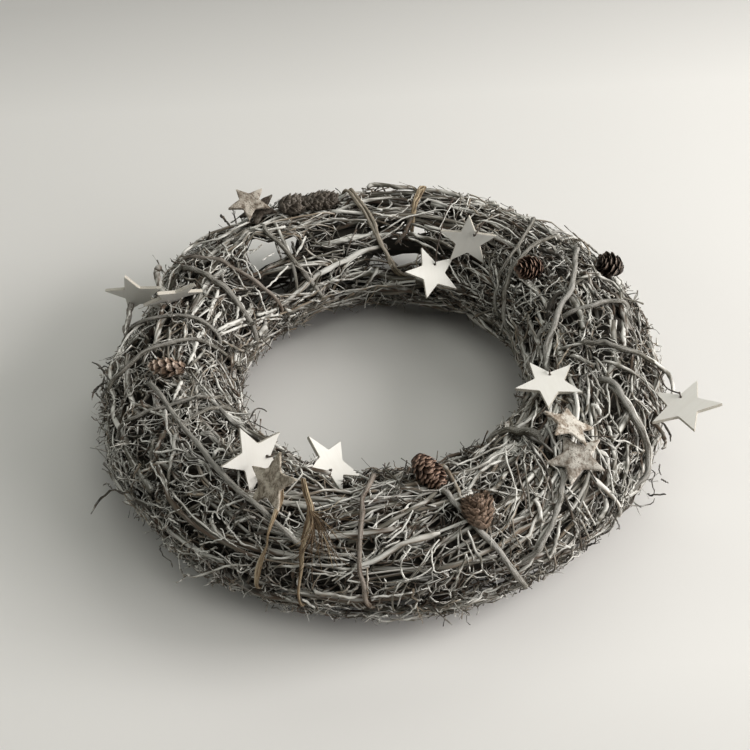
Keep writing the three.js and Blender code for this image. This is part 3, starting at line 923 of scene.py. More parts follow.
# single twigs: radius, look, lift at both ends, then ring angle and tube angle of each point
LAID: tuple[tuple[float | Look, ...], ...] = (
    (0.45, D, 2, 2, 0.5, 52, 0.2, 45), (0.9, G, 2, 2, 162, 38, 166.5, 44, 172.5, 51),
    (0.55, D, 6, 14, 220, 117, 219.5, 129, 210, 151, 210.2, 160), (0.5, D, 8, 8, 219.5, 129, 225, 137, 227.2, 143),
    (0.5, D, 2, 8, 152.2, 174, 150, 186, 147.2, 196), (0.54, D, 2, 2, 3, 49, 1.8, 42),
    (0.54, D, 2, 2, 3.2, 49, 2.5, 45, 2.2, 41), (0.54, G, 2, 2, 5.5, 79, 3.5, 77, 0.8, 76),
    (0.54, G, 2, 2, 6.2, 55, 3.5, 55, 2.5, 52), (0.54, G, 2, 2, 7, 63, 5.2, 61, 2.8, 60),
    (0.72, G, 2, 2, 12, 108, 10, 112, 7.8, 116), (0.65, P, 2, 2, 15, 89, 12.5, 89, 10.2, 89, 8.8, 89),
    (1.81, D, 1, 1, 14.8, 107, 14.5, 113, 12.8, 120, 10.5, 125, 8.5, 130), (1.11, B, 2, 2, 11.8, 56, 13, 49),
    (0.54, P, 2, 2, 14, 96, 11.5, 96), (1.11, G, 2, 2, 17.8, 52, 15.8, 54, 13.5, 54, 11.2, 55),
    (1.47, G, 1, 1, 16.5, 94, 17, 88, 17.8, 81, 18.5, 73, 17.5, 68, 16.2, 62, 14.3, 57, 10.5, 49),
    (0.45, G, 2, 2, 18, 105, 16, 105, 14.8, 107), (0.55, P, 2, 2, 20.2, 102, 19.2, 107, 19, 112, 18.5, 116, 17, 121),
    (0.73, P, 2, 2, 21.5, 128, 19, 127), (0.45, G, 2, 2, 27, 130, 23.8, 134, 21.2, 137, 18.2, 136, 15.2, 135),
    (0.45, P, 2, 2, 19.5, 114, 21.2, 118, 23.8, 117), (0.56, P, 2, 2, 25.8, 87, 25, 94, 24.8, 99, 24.2, 103),
    (0.92, P, 2, 2, 26.8, 136, 24.8, 134), (0.57, G, 2, 2, 30, 52, 27.8, 51, 25.2, 51),
    (0.55, P, 2, 2, 30, 128, 27.8, 127), (0.56, P, 2, 2, 30.8, 143, 27.8, 142), (0.74, P, 2, 2, 30.8, 137, 29, 136),
    (1.87, D, 1, 1, 35, 95, 32.8, 92, 30.2, 89, 28.2, 87, 26.8, 86),
    (1.16, G, 4, 3, 33, 48, 32.8, 39, 31, 38, 28.5, 37), (0.56, P, 2, 2, 32.8, 132, 30, 131),
    (1.12, G, 2, 2, 41.5, 131, 37, 140, 34, 152), (0.96, G, 2, 2, 44.2, 65, 40.8, 66, 37, 71, 34.2, 75),
    (0.76, G, 2, 2, 43, 78, 39.2, 79, 35.8, 78), (0.76, G, 2, 2, 43, 91, 39.5, 90, 36.2, 88),
    (1.17, G, 2, 2, 45.2, 70, 46.5, 60), (1.16, G, 2, 2, 51.2, 70, 48, 70, 44.8, 74),
    (0.96, B, 2, 2, 55, 84, 51.8, 84, 48.5, 84, 44.5, 86, 41, 88),
    (0.57, G, 2, 2, 53.5, 153, 52.5, 146, 50.3, 143, 46, 146, 43.2, 153, 47, 164),
    (0.77, B, 2, 2, 54.2, 76, 50.8, 78, 47.2, 79, 43.5, 80),
    (0.76, G, 2, 2, 54.8, 103, 51, 103, 46.8, 105, 43.5, 106),
    (0.96, G, 2, 2, 55.8, 98, 52.8, 95, 49.5, 94, 45.8, 95, 41.8, 98),
    (0.57, P, 2, 2, 58.8, 147, 55.8, 155, 52.5, 160), (0.46, G, 2, 2, 66, 82, 64.8, 96, 62.5, 107, 60.3, 112),
    (0.47, P, 2, 2, 65.5, 70, 65.8, 82, 66.5, 92, 66.5, 103, 66.8, 111, 67.2, 119),
    (1.54, G, 1, 1, 77.8, 124, 73.2, 127, 67.5, 128, 61.3, 130),
    (1.15, G, 2, 2, 77.2, 130, 72.5, 133, 67.8, 136, 64, 140), (2, G, 1, 1, 77.2, 61, 73.5, 57, 69.2, 62, 64.8, 66),
    (0.7, P, 2, 2, 87.8, 126, 84.8, 121, 82.2, 116, 79.8, 111, 76.2, 107, 72.5, 102, 69, 96, 65.8, 97),
    (1.55, D, 1, 1, 77.2, 107, 77.8, 116, 78.5, 124, 80, 130, 82, 136),
    (0.7, P, 2, 2, 86, 115, 84.8, 110, 82.5, 107, 80, 103, 79, 98),
    (0.77, G, 2, 2, 88.5, 135, 84.8, 128, 81.2, 121, 79.5, 115),
    (2.01, G, 5, 1, 90.8, 61, 89, 57, 85, 60, 82.5, 64, 80.2, 51, 77.8, 51),
    (1.54, D, 1, 1, 87.5, 132, 86.2, 140, 84, 150, 81, 158), (0.78, G, 2, 2, 90, 102, 84.5, 101, 80, 103),
    (1.17, G, 2, 2, 90.2, 105, 86, 109, 81.8, 110), (0.47, G, 2, 2, 88.2, 188, 86.2, 201),
    (0.47, G, 2, 4, 87.8, 191, 89.8, 205, 91, 225), (0.58, G, 2, 2, 94.8, 120, 92.2, 113),
    (1.56, G, 1, 1, 89, 159, 91.8, 169, 94.5, 178, 98.3, 187, 101.8, 196),
    (1.56, P, 1, 1, 103, 95, 98.5, 100, 94, 104, 90.2, 108),
    (1.35, P, 1, 1, 106.2, 129, 100.8, 130, 95.8, 129, 91.2, 126, 88.5, 124),
    (0.97, G, 2, 2, 103.8, 105, 99.2, 109, 94.2, 112, 90.2, 114), (0.58, P, 2, 2, 104.2, 156, 99.5, 149, 95.2, 146),
    (0.77, P, 2, 2, 91.5, 158, 96, 164, 100.5, 167, 105.8, 166, 110, 162),
    (0.77, P, 2, 2, 99, 151, 102.8, 155, 105.2, 161, 107.8, 162, 110.2, 164),
    (0.58, P, 2, 2, 110.8, 172, 108.2, 179, 105.5, 180),
    (2.3, P, 1, 1, 87.8, 139, 95, 142, 102.2, 148, 109.8, 152, 118, 157, 124, 162, 132.8, 167),
    (0.58, P, 2, 2, 116, 181, 112, 177, 109, 176, 106.2, 179),
    (1.15, G, 2, 2, 119.8, 166, 114.8, 165, 109.2, 165, 103.5, 166),
    (0.77, G, 2, 2, 118.2, 162, 112.5, 164, 105.8, 166),
    (0.96, G, 2, 2, 126, 134, 121, 136, 114.8, 138, 107.5, 138, 101.5, 138),
    (1.15, P, 2, 2, 113.8, 117, 115.5, 121, 118.2, 127, 120.8, 131), (1.16, P, 2, 2, 118.7, 179, 116, 183),
    (0.76, P, 2, 2, 117.8, 133, 117.8, 140, 117.8, 147, 117.8, 154), (1.15, D, 2, 2, 119, 117, 120, 125, 119.8, 132),
    (1.34, G, 1, 1, 119, 77, 120, 95, 121, 107, 121.5, 118, 122.2, 128, 123, 138, 124, 149, 125.2, 161, 126.5, 170),
    (0.57, G, 2, 2, 125.5, 171, 120.2, 172), (1.15, P, 2, 2, 127, 172, 122.8, 171, 119.3, 170),
    (0.59, G, 2, 4, 125, 207, 122, 219), (0.95, D, 2, 2, 124, 111, 125, 119, 125.7, 127),
    (1.34, P, 1, 1, 133, 174, 130, 180, 125.7, 180, 121.5, 180, 116.5, 179),
    (0.58, G, 2, 2, 130.5, 205, 127.5, 203, 124.5, 201, 121.8, 213), (1.17, D, 14, 2, 130.5, 64, 129.5, 60, 129, 61),
    (0.57, P, 2, 2, 132.5, 121, 129.8, 120, 127, 120), (0.77, P, 2, 2, 131.8, 183, 128.5, 186),
    (0.76, G, 2, 2, 128.2, 107, 131.2, 109, 134, 109), (0.94, P, 2, 2, 125, 136, 129.5, 139, 133.8, 142, 138.8, 143),
    (1.16, G, 2, 2, 140.5, 52, 138, 57, 136.5, 68, 133.2, 74, 128, 73, 125, 74),
    (0.76, G, 2, 2, 137, 109, 134.2, 106, 132.5, 107, 131, 109),
    (1.56, G, 4, 0, 144, 54, 141.2, 54, 134.5, 45, 129.2, 51, 125, 64),
    (0.57, G, 2, 2, 132.5, 101, 135.2, 103, 138, 106), (0.76, G, 2, 2, 139, 106, 137.8, 98, 135, 96, 132.2, 95),
    (0.98, G, 3, 3, 137.2, 47, 136.5, 53, 134.5, 48), (0.75, P, 2, 2, 136.2, 119, 136.5, 127, 137.5, 133),
    (1.14, G, 2, 2, 136.5, 82, 138, 92, 139.8, 100), (0.75, P, 2, 2, 138.2, 117, 138.8, 123, 139.5, 129),
    (0.57, P, 2, 2, 139.8, 70, 141.5, 83, 142.5, 92), (0.75, G, 2, 2, 147, 163, 142, 171, 136.2, 180),
    (1.5, P, 1, 1, 147.8, 158, 142.2, 163, 137, 168),
    (0.67, P, 2, 2, 141.5, 136, 141.8, 142, 142.5, 149, 143.2, 155, 143.5, 161),
    (1.13, G, 2, 2, 150.2, 159, 144.5, 165, 139, 171, 136.2, 176),
    (0.57, G, 2, 2, 140, 65, 142.8, 77, 144, 87, 144, 94),
    (0.75, G, 2, 2, 142.5, 110, 143.5, 119, 144.8, 126, 145, 133),
    (0.56, P, 2, 2, 146.2, 94, 146.8, 100, 145, 102, 145.2, 108), (1.12, P, 2, 2, 152.8, 159, 149.2, 163, 147, 165),
    (2.25, P, 1, 1, 144, 173, 148.5, 174, 152.2, 177, 154.8, 181),
    (1.29, P, 1, 1, 148.5, 132, 151.5, 136, 154.8, 140, 157.8, 144),
    (2.64, S, 8, -1, 150.5, 52, 151.2, 48, 155, 59, 159.2, 70), (1.48, P, 1, 1, 158, 86, 156, 91, 154.2, 95),
    (1.46, P, 1, 1, 151.8, 114, 155.5, 117, 159.2, 118, 163.5, 120, 166.5, 120),
    (0.73, G, 2, 2, 156.5, 120, 157.8, 126, 160.2, 132, 162.8, 136),
    (1.1, G, 2, 2, 152, 109, 155.8, 109, 159.5, 109, 163.5, 108, 167.5, 107),
    (1.46, P, 1, 1, 168, 132, 162.8, 139, 157.8, 145, 153.2, 152), (1.09, P, 2, 2, 165.8, 120, 162, 119, 158.5, 119),
    (1.09, P, 2, 2, 161.5, 117, 163.8, 121), (1.09, P, 2, 2, 170.5, 133, 165.8, 141, 159.8, 149, 155.5, 155),
    (0.91, G, 2, 2, 156.8, 153, 164.8, 143, 170, 136), (0.91, P, 2, 2, 160.5, 127, 164, 126, 167, 126),
    (1.09, P, 2, 2, 168.2, 107, 164, 109, 159.2, 111), (0.91, P, 2, 2, 168, 127, 163.8, 127, 160.2, 128),
    (1.09, G, 2, 2, 156.8, 149, 162.2, 142, 168, 136, 170.8, 133), (0.91, G, 2, 2, 169, 102, 164.8, 101, 162.2, 99),
    (1.46, B, 1, 1, 169.2, 82, 166, 81, 163.8, 81), (0.55, D, 2, 2, 164.8, 70, 167, 70, 167.5, 68, 166.3, 62),
    (1.27, G, 1, 1, 171, 139, 170.2, 148, 168, 159, 163.8, 172), (1.07, T, 2, 2, 170.8, 103, 174, 106, 178, 107),
    (1.43, P, 1, 1, 171, 121, 174.8, 119, 177.2, 117), (0.54, D, 2, 2, 180, 48, 179.5, 40, 179, 34, 176.2, 24),
    (0.55, D, 1, 6, 182, 41, 179, 30, 177, 18, 177.2, 18),
    (1.41, P, 1, 1, 171.2, 119, 176.5, 117, 179.2, 117, 183.5, 115, 187.2, 111),
    (0.72, D, 1, 6, 185.8, 41, 183.8, 30, 182, 16, 182.8, 15, 184, 18),
    (1.23, G, 1, 1, 178.5, 126, 182, 123, 186, 117, 188.5, 112), (0.52, P, 2, 2, 182, 81, 185, 85, 187, 89),
    (0.52, G, 2, 2, 185.5, 132, 187.8, 138, 191, 143, 194.2, 147), (0.69, P, 2, 2, 189.2, 80, 191, 84, 192, 86),
    (0.52, G, 2, 2, 188.8, 130, 191.8, 133, 193.3, 138, 192.2, 144),
    (1.36, P, 1, 1, 194.8, 103, 198.2, 98, 201.2, 91), (0.52, G, 2, 2, 194.5, 146, 197, 149, 200, 150, 202, 153),
    (1.03, P, 2, 2, 192.2, 133, 196.2, 133, 199.5, 135, 203, 136, 205.8, 137),
    (1.02, G, 2, 2, 190.8, 111, 196.5, 116, 199.8, 119, 203.5, 121, 206.8, 122),
    (0.52, G, 2, 2, 195.2, 136, 198, 141, 201.5, 142, 205.5, 138),
    (0.68, B, 2, 2, 202.3, 92, 202.3, 100, 202.8, 107, 203.5, 117, 203.8, 126),
    (0.5, P, 2, 2, 208.5, 94, 206.8, 98, 205.2, 102),
    (0.85, D, 1, 26, 213, 20, 211.5, 14, 209.8, 14, 208.5, 6, 208, 1, 208.5, -1, 208.8, -4),
    (0.6, D, 12, 16, 210.5, 17, 209.5, 19, 209, 17),
    (0.8, D, 0, 14, 189, 48, 186, 43, 183.8, 41, 181.2, 37, 180.5, 35),
    (0.7, D, 1, 14, 189.8, 41, 187, 36, 186, 33, 188.2, 34, 191.5, 36),
    (1.65, B, 1, 1, 209.2, 76, 211.5, 65, 213.5, 55), (1.47, G, 1, 1, 211.3, 81, 215.5, 70, 218, 60, 220, 49),
    (0.65, P, 2, 2, 213.5, 51, 216, 49, 218.2, 48, 220.3, 46),
    (0.65, G, 2, 2, 215.5, 55, 217.8, 52, 219.5, 50, 221.5, 45), (0.64, G, 2, 2, 221.5, 51, 222.8, 52, 223, 54),
    (0.45, D, 3, 9, 223.5, -2, 221.5, -16, 222, -15, 223.8, -13, 226.8, -6, 227.2, -11),
    (1.29, P, 1, 1, 224, 87, 223.8, 93, 224.8, 97), (0.8, P, 2, 2, 220.8, 61, 222.8, 63, 224.5, 65, 226, 69, 227, 73),
    (0.48, G, 2, 2, 224.5, 54, 224.2, 59, 225.2, 63, 226.8, 62), (0.64, P, 2, 2, 224.2, 27, 225.5, 28, 227, 28),
    (0.48, G, 2, 2, 226.2, 78, 227.5, 74, 228.8, 70), (0.59, G, 9, 6, 231, -8, 228, -21, 228, -16),
    (1.59, B, 1, 1, 214, 52, 218.8, 48, 223.2, 39, 228.2, 36, 233.8, 34, 240.3, 33, 244.8, 32),
    (0.79, G, 2, 2, 222.2, 47, 226.8, 43, 230.8, 40, 235, 37, 237, 36), (0.58, G, 10, 18, 231, -8, 231, -7, 231, -4),
    (0.47, G, 2, 2, 230.5, 48, 231.5, 46, 231.8, 42, 232.8, 41), (0.47, G, 2, 2, 233, 69, 233, 64),
    (0.64, P, 2, 2, 231.3, 16, 233, 18, 234.8, 20), (0.8, G, 2, 2, 228, 2, 230.8, 9, 233.5, 14, 236, 18, 238.5, 21),
    (0.63, G, 2, 2, 233.2, 51, 233.5, 47, 234.2, 44),
    (0.63, P, 2, 2, 232.5, 66, 233.5, 63, 233.8, 58, 233.8, 54, 234.5, 50, 235.3, 49),
    (0.63, P, 2, 2, 232.8, 23, 234, 27, 235.3, 31, 236.7, 35, 237.5, 38),
    (0.94, G, 2, 2, 238, 70, 236, 63, 235, 59, 234.2, 55),
    (0.96, P, 8, 0, 231, -8, 231.3, -14, 236.5, 8, 239.3, 17, 243.8, 24),
    (0.47, P, 2, 2, 237.5, 38, 236.7, 42, 236, 43), (1.25, D, 1, 1, 238.5, 68, 238.2, 61, 237.5, 55, 237.2, 49),
    (0.56, P, 2, 2, 236.2, 49, 237.5, 46, 238.8, 44, 240.3, 40), (0.47, P, 2, 2, 237.5, 38, 238.8, 36, 240.3, 35),
    (1.24, G, 1, 1, 241.5, 60, 240, 57, 239, 53, 238, 48),
    (0.47, P, 2, 2, 235.8, 24, 238.8, 22, 241.5, 16, 242.5, 17, 243.8, 22),
    (1.24, D, 1, 1, 245.2, 54, 244, 51, 242.2, 47, 240.8, 42), (0.46, G, 2, 2, 243, 49, 244, 45, 245, 43),
    (0.92, G, 2, 2, 248.5, 71, 248.5, 66, 248.3, 62), (0.92, P, 2, 2, 247.5, 60, 249.8, 57, 251.2, 53, 252, 52),
    (0.62, G, 2, 2, 248.5, 6, 250.2, 3, 252, 1), (0.62, G, 2, 2, 247.8, 14, 249.5, 13, 251.8, 12, 253.3, 11),
    (0.93, P, 2, 2, 253.8, 6, 255, 1, 255.8, -3), (0.92, G, 2, 2, 247.2, 35, 250, 38, 255.5, 43, 260.2, 44, 262, 43),
    (1.07, G, 1, 1, 247.2, 28, 251, 32, 255, 37, 259.8, 39, 262, 41),
    (0.45, T, 2, 2, 255.8, 62, 255.8, 57, 255.2, 53, 254.2, 49),
    (0.61, P, 2, 2, 255.2, 76, 256.8, 75, 258, 72, 259.5, 70),
    (0.62, G, 2, 2, 254, 85, 256.2, 86, 258.8, 85, 260.8, 84),
    (0.67, P, 2, 2, 255, 31, 257.3, 31, 259.5, 32, 261.5, 35),
    (1.23, P, 1, 1, 255.5, 14, 257.3, 13, 259.5, 14, 261.5, 12, 263.8, 12),
    (0.46, G, 2, 2, 258.2, 45, 259.8, 46, 261.2, 46, 262.5, 44), (0.61, P, 2, 2, 259.8, 80, 261, 77, 261.5, 75),
    (0.76, T, 2, 2, 265.2, 38, 265.2, 29, 265.2, 19, 265, 9),
    (0.61, G, 2, 2, 264, 44, 265.2, 46, 266.3, 49, 266.8, 53),
    (0.68, P, 2, 2, 269, 99, 267.5, 94, 266.3, 89, 265, 84),
    (0.46, G, 2, 2, 268.2, 30, 268.5, 27, 268.2, 22, 267, 20, 266.3, 15),
    (0.76, G, 2, 2, 271.5, 57, 269.5, 54, 268.2, 51, 267.2, 47),
    (0.92, G, 2, 2, 265.8, 14, 268.2, 15, 270.8, 16, 273, 17),
    (0.61, P, 2, 2, 274, 81, 272, 78, 270, 77, 268.2, 73, 266.8, 69, 265.8, 66),
    (0.61, G, 2, 2, 267.8, 59, 269.2, 60, 270.8, 64, 272, 66),
    (1.82, P, 1, 1, 279.5, 59, 275.5, 57, 271.5, 54, 268, 46, 264.2, 40, 262.8, 39),
    (0.77, G, 2, 2, 272.5, 27, 271, 26, 270.2, 20, 269.5, 13, 269.5, 5, 269.8, -2),
    (1.53, M, 1, 1, 282.2, 95, 278.5, 85, 275, 80, 270.8, 73, 266.8, 65, 262.8, 58, 261.2, 55),
    (0.67, P, 2, 2, 274.8, 78, 274.2, 74, 272, 64, 269.2, 57, 268, 55),
    (0.63, G, 2, 2, 269, -15, 270.8, -20, 272.8, -23, 274.8, -25),
    (0.56, P, 2, 2, 270.8, -14, 272, -8, 273, -1, 273.8, 6),
    (0.61, P, 2, 2, 272, 49, 272.5, 46, 271.5, 42, 271.2, 37, 271.5, 32, 272, 28, 273, 28, 274.5, 30, 276, 33, 276.8,
      35), (0.61, G, 2, 2, 277.2, 49, 275, 39, 272.5, 27, 270.8, 13, 270.2, 3),
    (0.91, G, 2, 2, 278, 71, 276, 69, 273.8, 66, 272.2, 62),
    (0.61, G, 2, 2, 280.2, 55, 278.5, 50, 277.5, 46, 276, 41, 274.8, 36, 273.5, 30),
    (0.61, P, 2, 2, 279, 54, 277.5, 49, 277, 43, 277, 36, 277.2, 31, 278.5, 30, 280, 31),
    (0.46, G, 2, 2, 279.5, 48, 280.8, 46, 282.2, 47),
    (0.76, G, 2, 2, 283.5, 40, 282.8, 35, 281.8, 29, 281, 23, 280.2, 15),
    (0.61, P, 2, 2, 285.8, 25, 284.3, 24, 283.2, 21, 282.2, 17, 281.5, 12),
    (0.46, G, 2, 2, 283.5, 39, 283.5, 33, 283.5, 26),
    (0.61, G, 2, 2, 283.5, 59, 283.2, 52, 284, 46, 284.3, 40, 284.5, 33),
    (0.92, G, 2, 2, 284.8, 56, 285, 49, 285.2, 41, 285.8, 33, 285.8, 25),
    (1.57, T, 1, 1, 286.5, 132, 286.2, 112, 286, 101, 286.2, 90, 286, 81),
    (0.62, G, 2, 2, 285.8, 25, 286.5, 20, 287.5, 16, 288.8, 11), (0.62, G, 2, 2, 287.8, 84, 287.2, 90, 287, 102),
    (0.55, G, 2, 2, 287.2, 33, 288.2, 29, 289, 23, 289.8, 18), (0.46, G, 2, 2, 289.8, 35, 290.5, 39, 291.2, 43),
    (0.46, G, 2, 2, 290, 54, 290.8, 49, 291.5, 44, 292.5, 40, 293.8, 39), (0.77, P, 2, 2, 291.2, 62, 292.8, 57),
    (0.47, G, 2, 2, 291, 19, 292.5, 20, 293.8, 22), (0.46, G, 2, 2, 292, 48, 293, 51, 293.8, 54),
    (0.46, G, 2, 2, 291.8, 27, 293.3, 28, 294.5, 29),
    (1.25, G, 1, 1, 287.8, 84, 289.8, 90, 292.5, 96, 295.2, 99, 298, 100, 300.8, 101),
    (0.46, G, 2, 2, 293.5, 42, 294.5, 39, 295.5, 36, 296, 29),
    (1.56, G, 1, 1, 299.2, 89, 297, 84, 295, 81, 293, 79, 291.2, 80),
    (0.95, G, 2, 2, 286.5, 97, 289.2, 102, 292.8, 102, 296.8, 103, 300, 105, 303.8, 103, 307.2, 109),
    (1.25, P, 1, 1, 302.8, 38, 300, 36, 298.2, 32, 296, 22, 295, 15, 293.3, 11, 292, 8),
    (0.8, G, 2, 2, 286.8, 109, 290.5, 114, 294.8, 113, 298.5, 115, 303, 112, 307.5, 115),
    (0.48, G, 2, 2, 294.2, 118, 298, 123, 300.5, 121),
    (0.63, P, 2, 2, 303.8, 109, 301.8, 101, 300.2, 94, 299.2, 85, 298.2, 77, 297.5, 70, 295.5, 61, 294.5, 58),
    (1.1, G, 1, 1, 301.2, 27, 300.2, 18, 299, 11, 297.5, 10, 296.2, 15),
    (0.93, G, 2, 2, 301.5, 46, 299.2, 41, 298.2, 36), (1.4, P, 1, 1, 300.2, 59, 300.2, 54, 299.8, 47, 298.8, 43),
    (0.62, G, 2, 2, 301, 72, 300.8, 66, 300.8, 61), (1.1, G, 1, 1, 303, 36, 302, 30, 301, 23, 300.2, 17, 299.8, 9),
    (0.63, B, 2, 2, 307.8, 99, 305, 96, 302.5, 92, 301.2, 86, 300, 78, 298.5, 63, 297.5, 56),
    (0.78, G, 2, 2, 308, 99, 305, 92, 303, 85, 300.5, 71, 298.5, 57, 297.8, 49),
    (0.57, G, 2, 2, 301, 21, 302.2, 22, 303.2, 23), (0.47, G, 2, 2, 301.2, 67, 302.5, 64, 303.2, 61),
    (0.57, G, 2, 2, 302.8, 28, 303.5, 24, 304.5, 19), (0.47, P, 2, 2, 306.5, 88, 304.8, 84, 303.2, 79),
    (0.79, G, 2, 2, 306.5, 95, 306.8, 88, 306, 81, 305.2, 72, 304.5, 65, 304, 58),
    (0.95, G, 2, 2, 305.5, 31, 305.5, 22, 305.8, 11),
    (0.95, D, 2, 2, 306.2, 53, 306, 47, 305.5, 34, 305.8, 19, 305.8, 10, 306.2, -2),
    (0.95, D, 2, 2, 309.5, 100, 308, 89, 306.8, 77, 305.5, 67, 304.5, 59, 302.8, 49),
    (0.96, G, 2, 2, 306.8, 28, 307.2, 18, 308, 6), (0.95, G, 2, 2, 307.2, 38, 307.8, 29, 308.5, 19),
    (0.79, G, 2, 2, 307.5, 55, 308, 48, 308.5, 44), (0.8, P, 2, 2, 309, 39, 309, 32, 309.2, 24, 309.8, 14),
    (1.62, D, 1, 1, 301.8, 121, 307.2, 131, 310.5, 130, 311.2, 122, 311.5, 112, 311, 99, 311, 87, 311.5, 76),
    (0.45, D, 2, 2, 312.5, 11, 311, 9, 309.8, 9, 311.2, 2),
    (1.61, G, 1, 1, 314.8, 24, 313.5, 20, 312.2, 16, 311, 14, 310.2, 11),
    (0.45, D, 2, 2, 314, 14, 313.5, 7, 314.5, -5), (0.49, D, 1, 6, 314.8, 14, 315, 4, 317.5, -17, 314.5, -4),
    (1.63, P, 1, 1, 314.2, 48, 314.5, 40, 316.2, 22, 317.5, 1, 317, -4),
    (1.46, P, 1, 1, 319.2, 60, 320, 54, 319.5, 49, 318.2, 42, 317, 37, 315.8, 32),
    (1.46, G, 1, 1, 322.8, 51, 320.8, 45, 319, 38, 317.5, 32, 316.2, 29),
    (0.82, G, 2, 2, 322.2, 22, 320.5, 19, 318.8, 17, 317.2, 16),
    (0.82, G, 2, 2, 327, 127, 322, 120, 317.2, 114, 313.2, 108),
    (0.5, D, -1, 15, 317.2, 13, 319, 5, 321.5, -4, 322, -4, 324, -8, 322.8, 5),
    (0.83, G, 2, 2, 323.8, 14, 321.2, 13, 319.2, 13),
    (1.15, G, 1, 1, 326.2, 44, 324.5, 38, 322.8, 32, 321, 28, 319.2, 23, 317.5, 18),
    (0.82, G, 2, 2, 325, 69, 323.2, 63), (0.67, D, 7, 18, 324.8, -3, 324.5, -2, 323.5, 5, 326.2, -4, 326, -1),
    (1.31, G, 1, 1, 326.2, 65, 325, 60, 323.8, 54), (0.66, G, 2, 2, 327.2, 36, 326.2, 30, 324.8, 27),
    (1.32, G, 1, 1, 329.8, 104, 327.8, 97, 326.2, 89, 324.5, 83, 322.8, 79),
    (0.66, P, 2, 2, 323.8, 55, 324.5, 52, 325.8, 47, 326.8, 40, 327.8, 32, 329, 21),
    (0.82, G, 2, 2, 329, 69, 328, 64, 327, 58, 326, 52),
    (0.45, D, 3, 10, 329.2, 4, 331, -8, 327.2, 4, 326, 2, 327.2, -11), (0.51, D, 11, 15, 328.5, 1, 327.5, 5, 330, -7),
    (1.65, P, 1, 1, 329.5, 83, 329, 78, 328, 74),
    (2.01, P, 1, 1, 338.2, 78, 336.5, 69, 333.8, 52, 332.5, 42, 330.8, 20, 328.8, 7, 325.2, -1, 321.8, 5, 318.2, 11),
    (0.45, D, 5, 11, 333.5, -7, 329.2, 7, 328.2, 6),
    (0.83, G, 2, 2, 338.8, 78, 336, 79, 334, 75, 329, 69, 327, 71, 324.8, 72, 323, 74),
    (0.83, G, 2, 2, 333, 86, 331, 81, 329.8, 74),
    (1.17, G, 1, 1, 338.8, 96, 335.2, 92, 331.8, 89, 328.5, 86, 325.2, 83),
    (0.67, G, 2, 2, 336.8, 92, 334.8, 87, 334.2, 82), (0.84, G, 2, 2, 339.8, 94, 336.8, 87, 334, 80, 331.8, 73),
    (1.38, B, 0, 6, 337, 27, 337.5, 13, 337.5, 2, 335.5, 2),
    (0.85, G, 2, 2, 343, 62, 340, 61, 337.5, 58, 336.8, 52, 336.8, 44, 336.8, 37),
    (0.87, D, 1, 9, 339.5, 16, 340.2, 2, 335.8, 11), (1.02, B, 2, 2, 340.8, 53, 339.5, 45, 338.8, 36, 338.5, 27),
    (1.03, B, 2, 2, 342.5, 49, 341.5, 40, 340.8, 31, 341.2, 21),
    (1.02, G, 2, 2, 345.5, 94, 343, 87, 340.5, 82, 338.8, 77), (1.04, B, 2, 2, 344, 45, 343.2, 35, 343, 24, 344.2, 9),
    (1.37, M, 1, 1, 345, 89, 345, 81, 344.5, 73, 344.2, 64, 343.8, 55, 344, 43, 344.5, 34),
    (1.37, G, 1, 1, 347.8, 115, 345.5, 106, 344, 98, 342.5, 92),
    (0.69, T, 2, 2, 341, 113, 345.2, 112, 348.8, 111, 349.2, 105, 348.2, 97, 346, 86, 344.8, 67, 345.8, 56),
    (0.69, G, 2, 2, 348, 61, 344.8, 61), (0.69, T, 2, 2, 342.8, 122, 346, 119, 349.2, 115, 350.2, 113),
    (0.7, G, 2, 2, 354.2, 135, 350.5, 134, 347.2, 135),
    (1.59, P, -1, 7, 350.5, 70, 350.5, 61, 351, 51, 351.2, 38, 352, 22, 352, 13, 350.5, 9, 348.5, 9),
    (1.22, G, 1, 1, 352, 127, 351.2, 118, 351.5, 107, 351.2, 96, 350.8, 86, 351.2, 74, 352.2, 63),
    (0.63, T, 2, 2, 361.5, 126, 357.8, 124, 354.2, 124, 351, 126, 347.5, 127),
    (1.23, P, 1, 1, 364.8, 122, 361.5, 128, 356.5, 131, 352, 133, 347.5, 135, 345.2, 136),
    (0.88, G, 2, 2, 359.5, 143, 355, 144, 351.5, 146), (0.45, D, 2, 2, 358.2, 48, 357, 46, 357.5, 40, 355.5, 40),
)


def round_ring(values: tuple[float, ...], around: Array) -> Array:
    """Value at each ring angle, between the twelve that are given."""
    return np.interp(np.asarray(around) % 360, TWELFTHS, [*values, values[0]])


def leftness(around: Array) -> Array:
    """From 0 at the far right of the ring to 1 at its near left, by the cosine of the ring angle."""
    return (1 - np.cos(np.radians(around - 30))) / 2


def between(rng: Draws, span: Pair, count: int) -> Array:
    """Even draws from a span."""
    return rng.uniform(span[0], span[1], count)


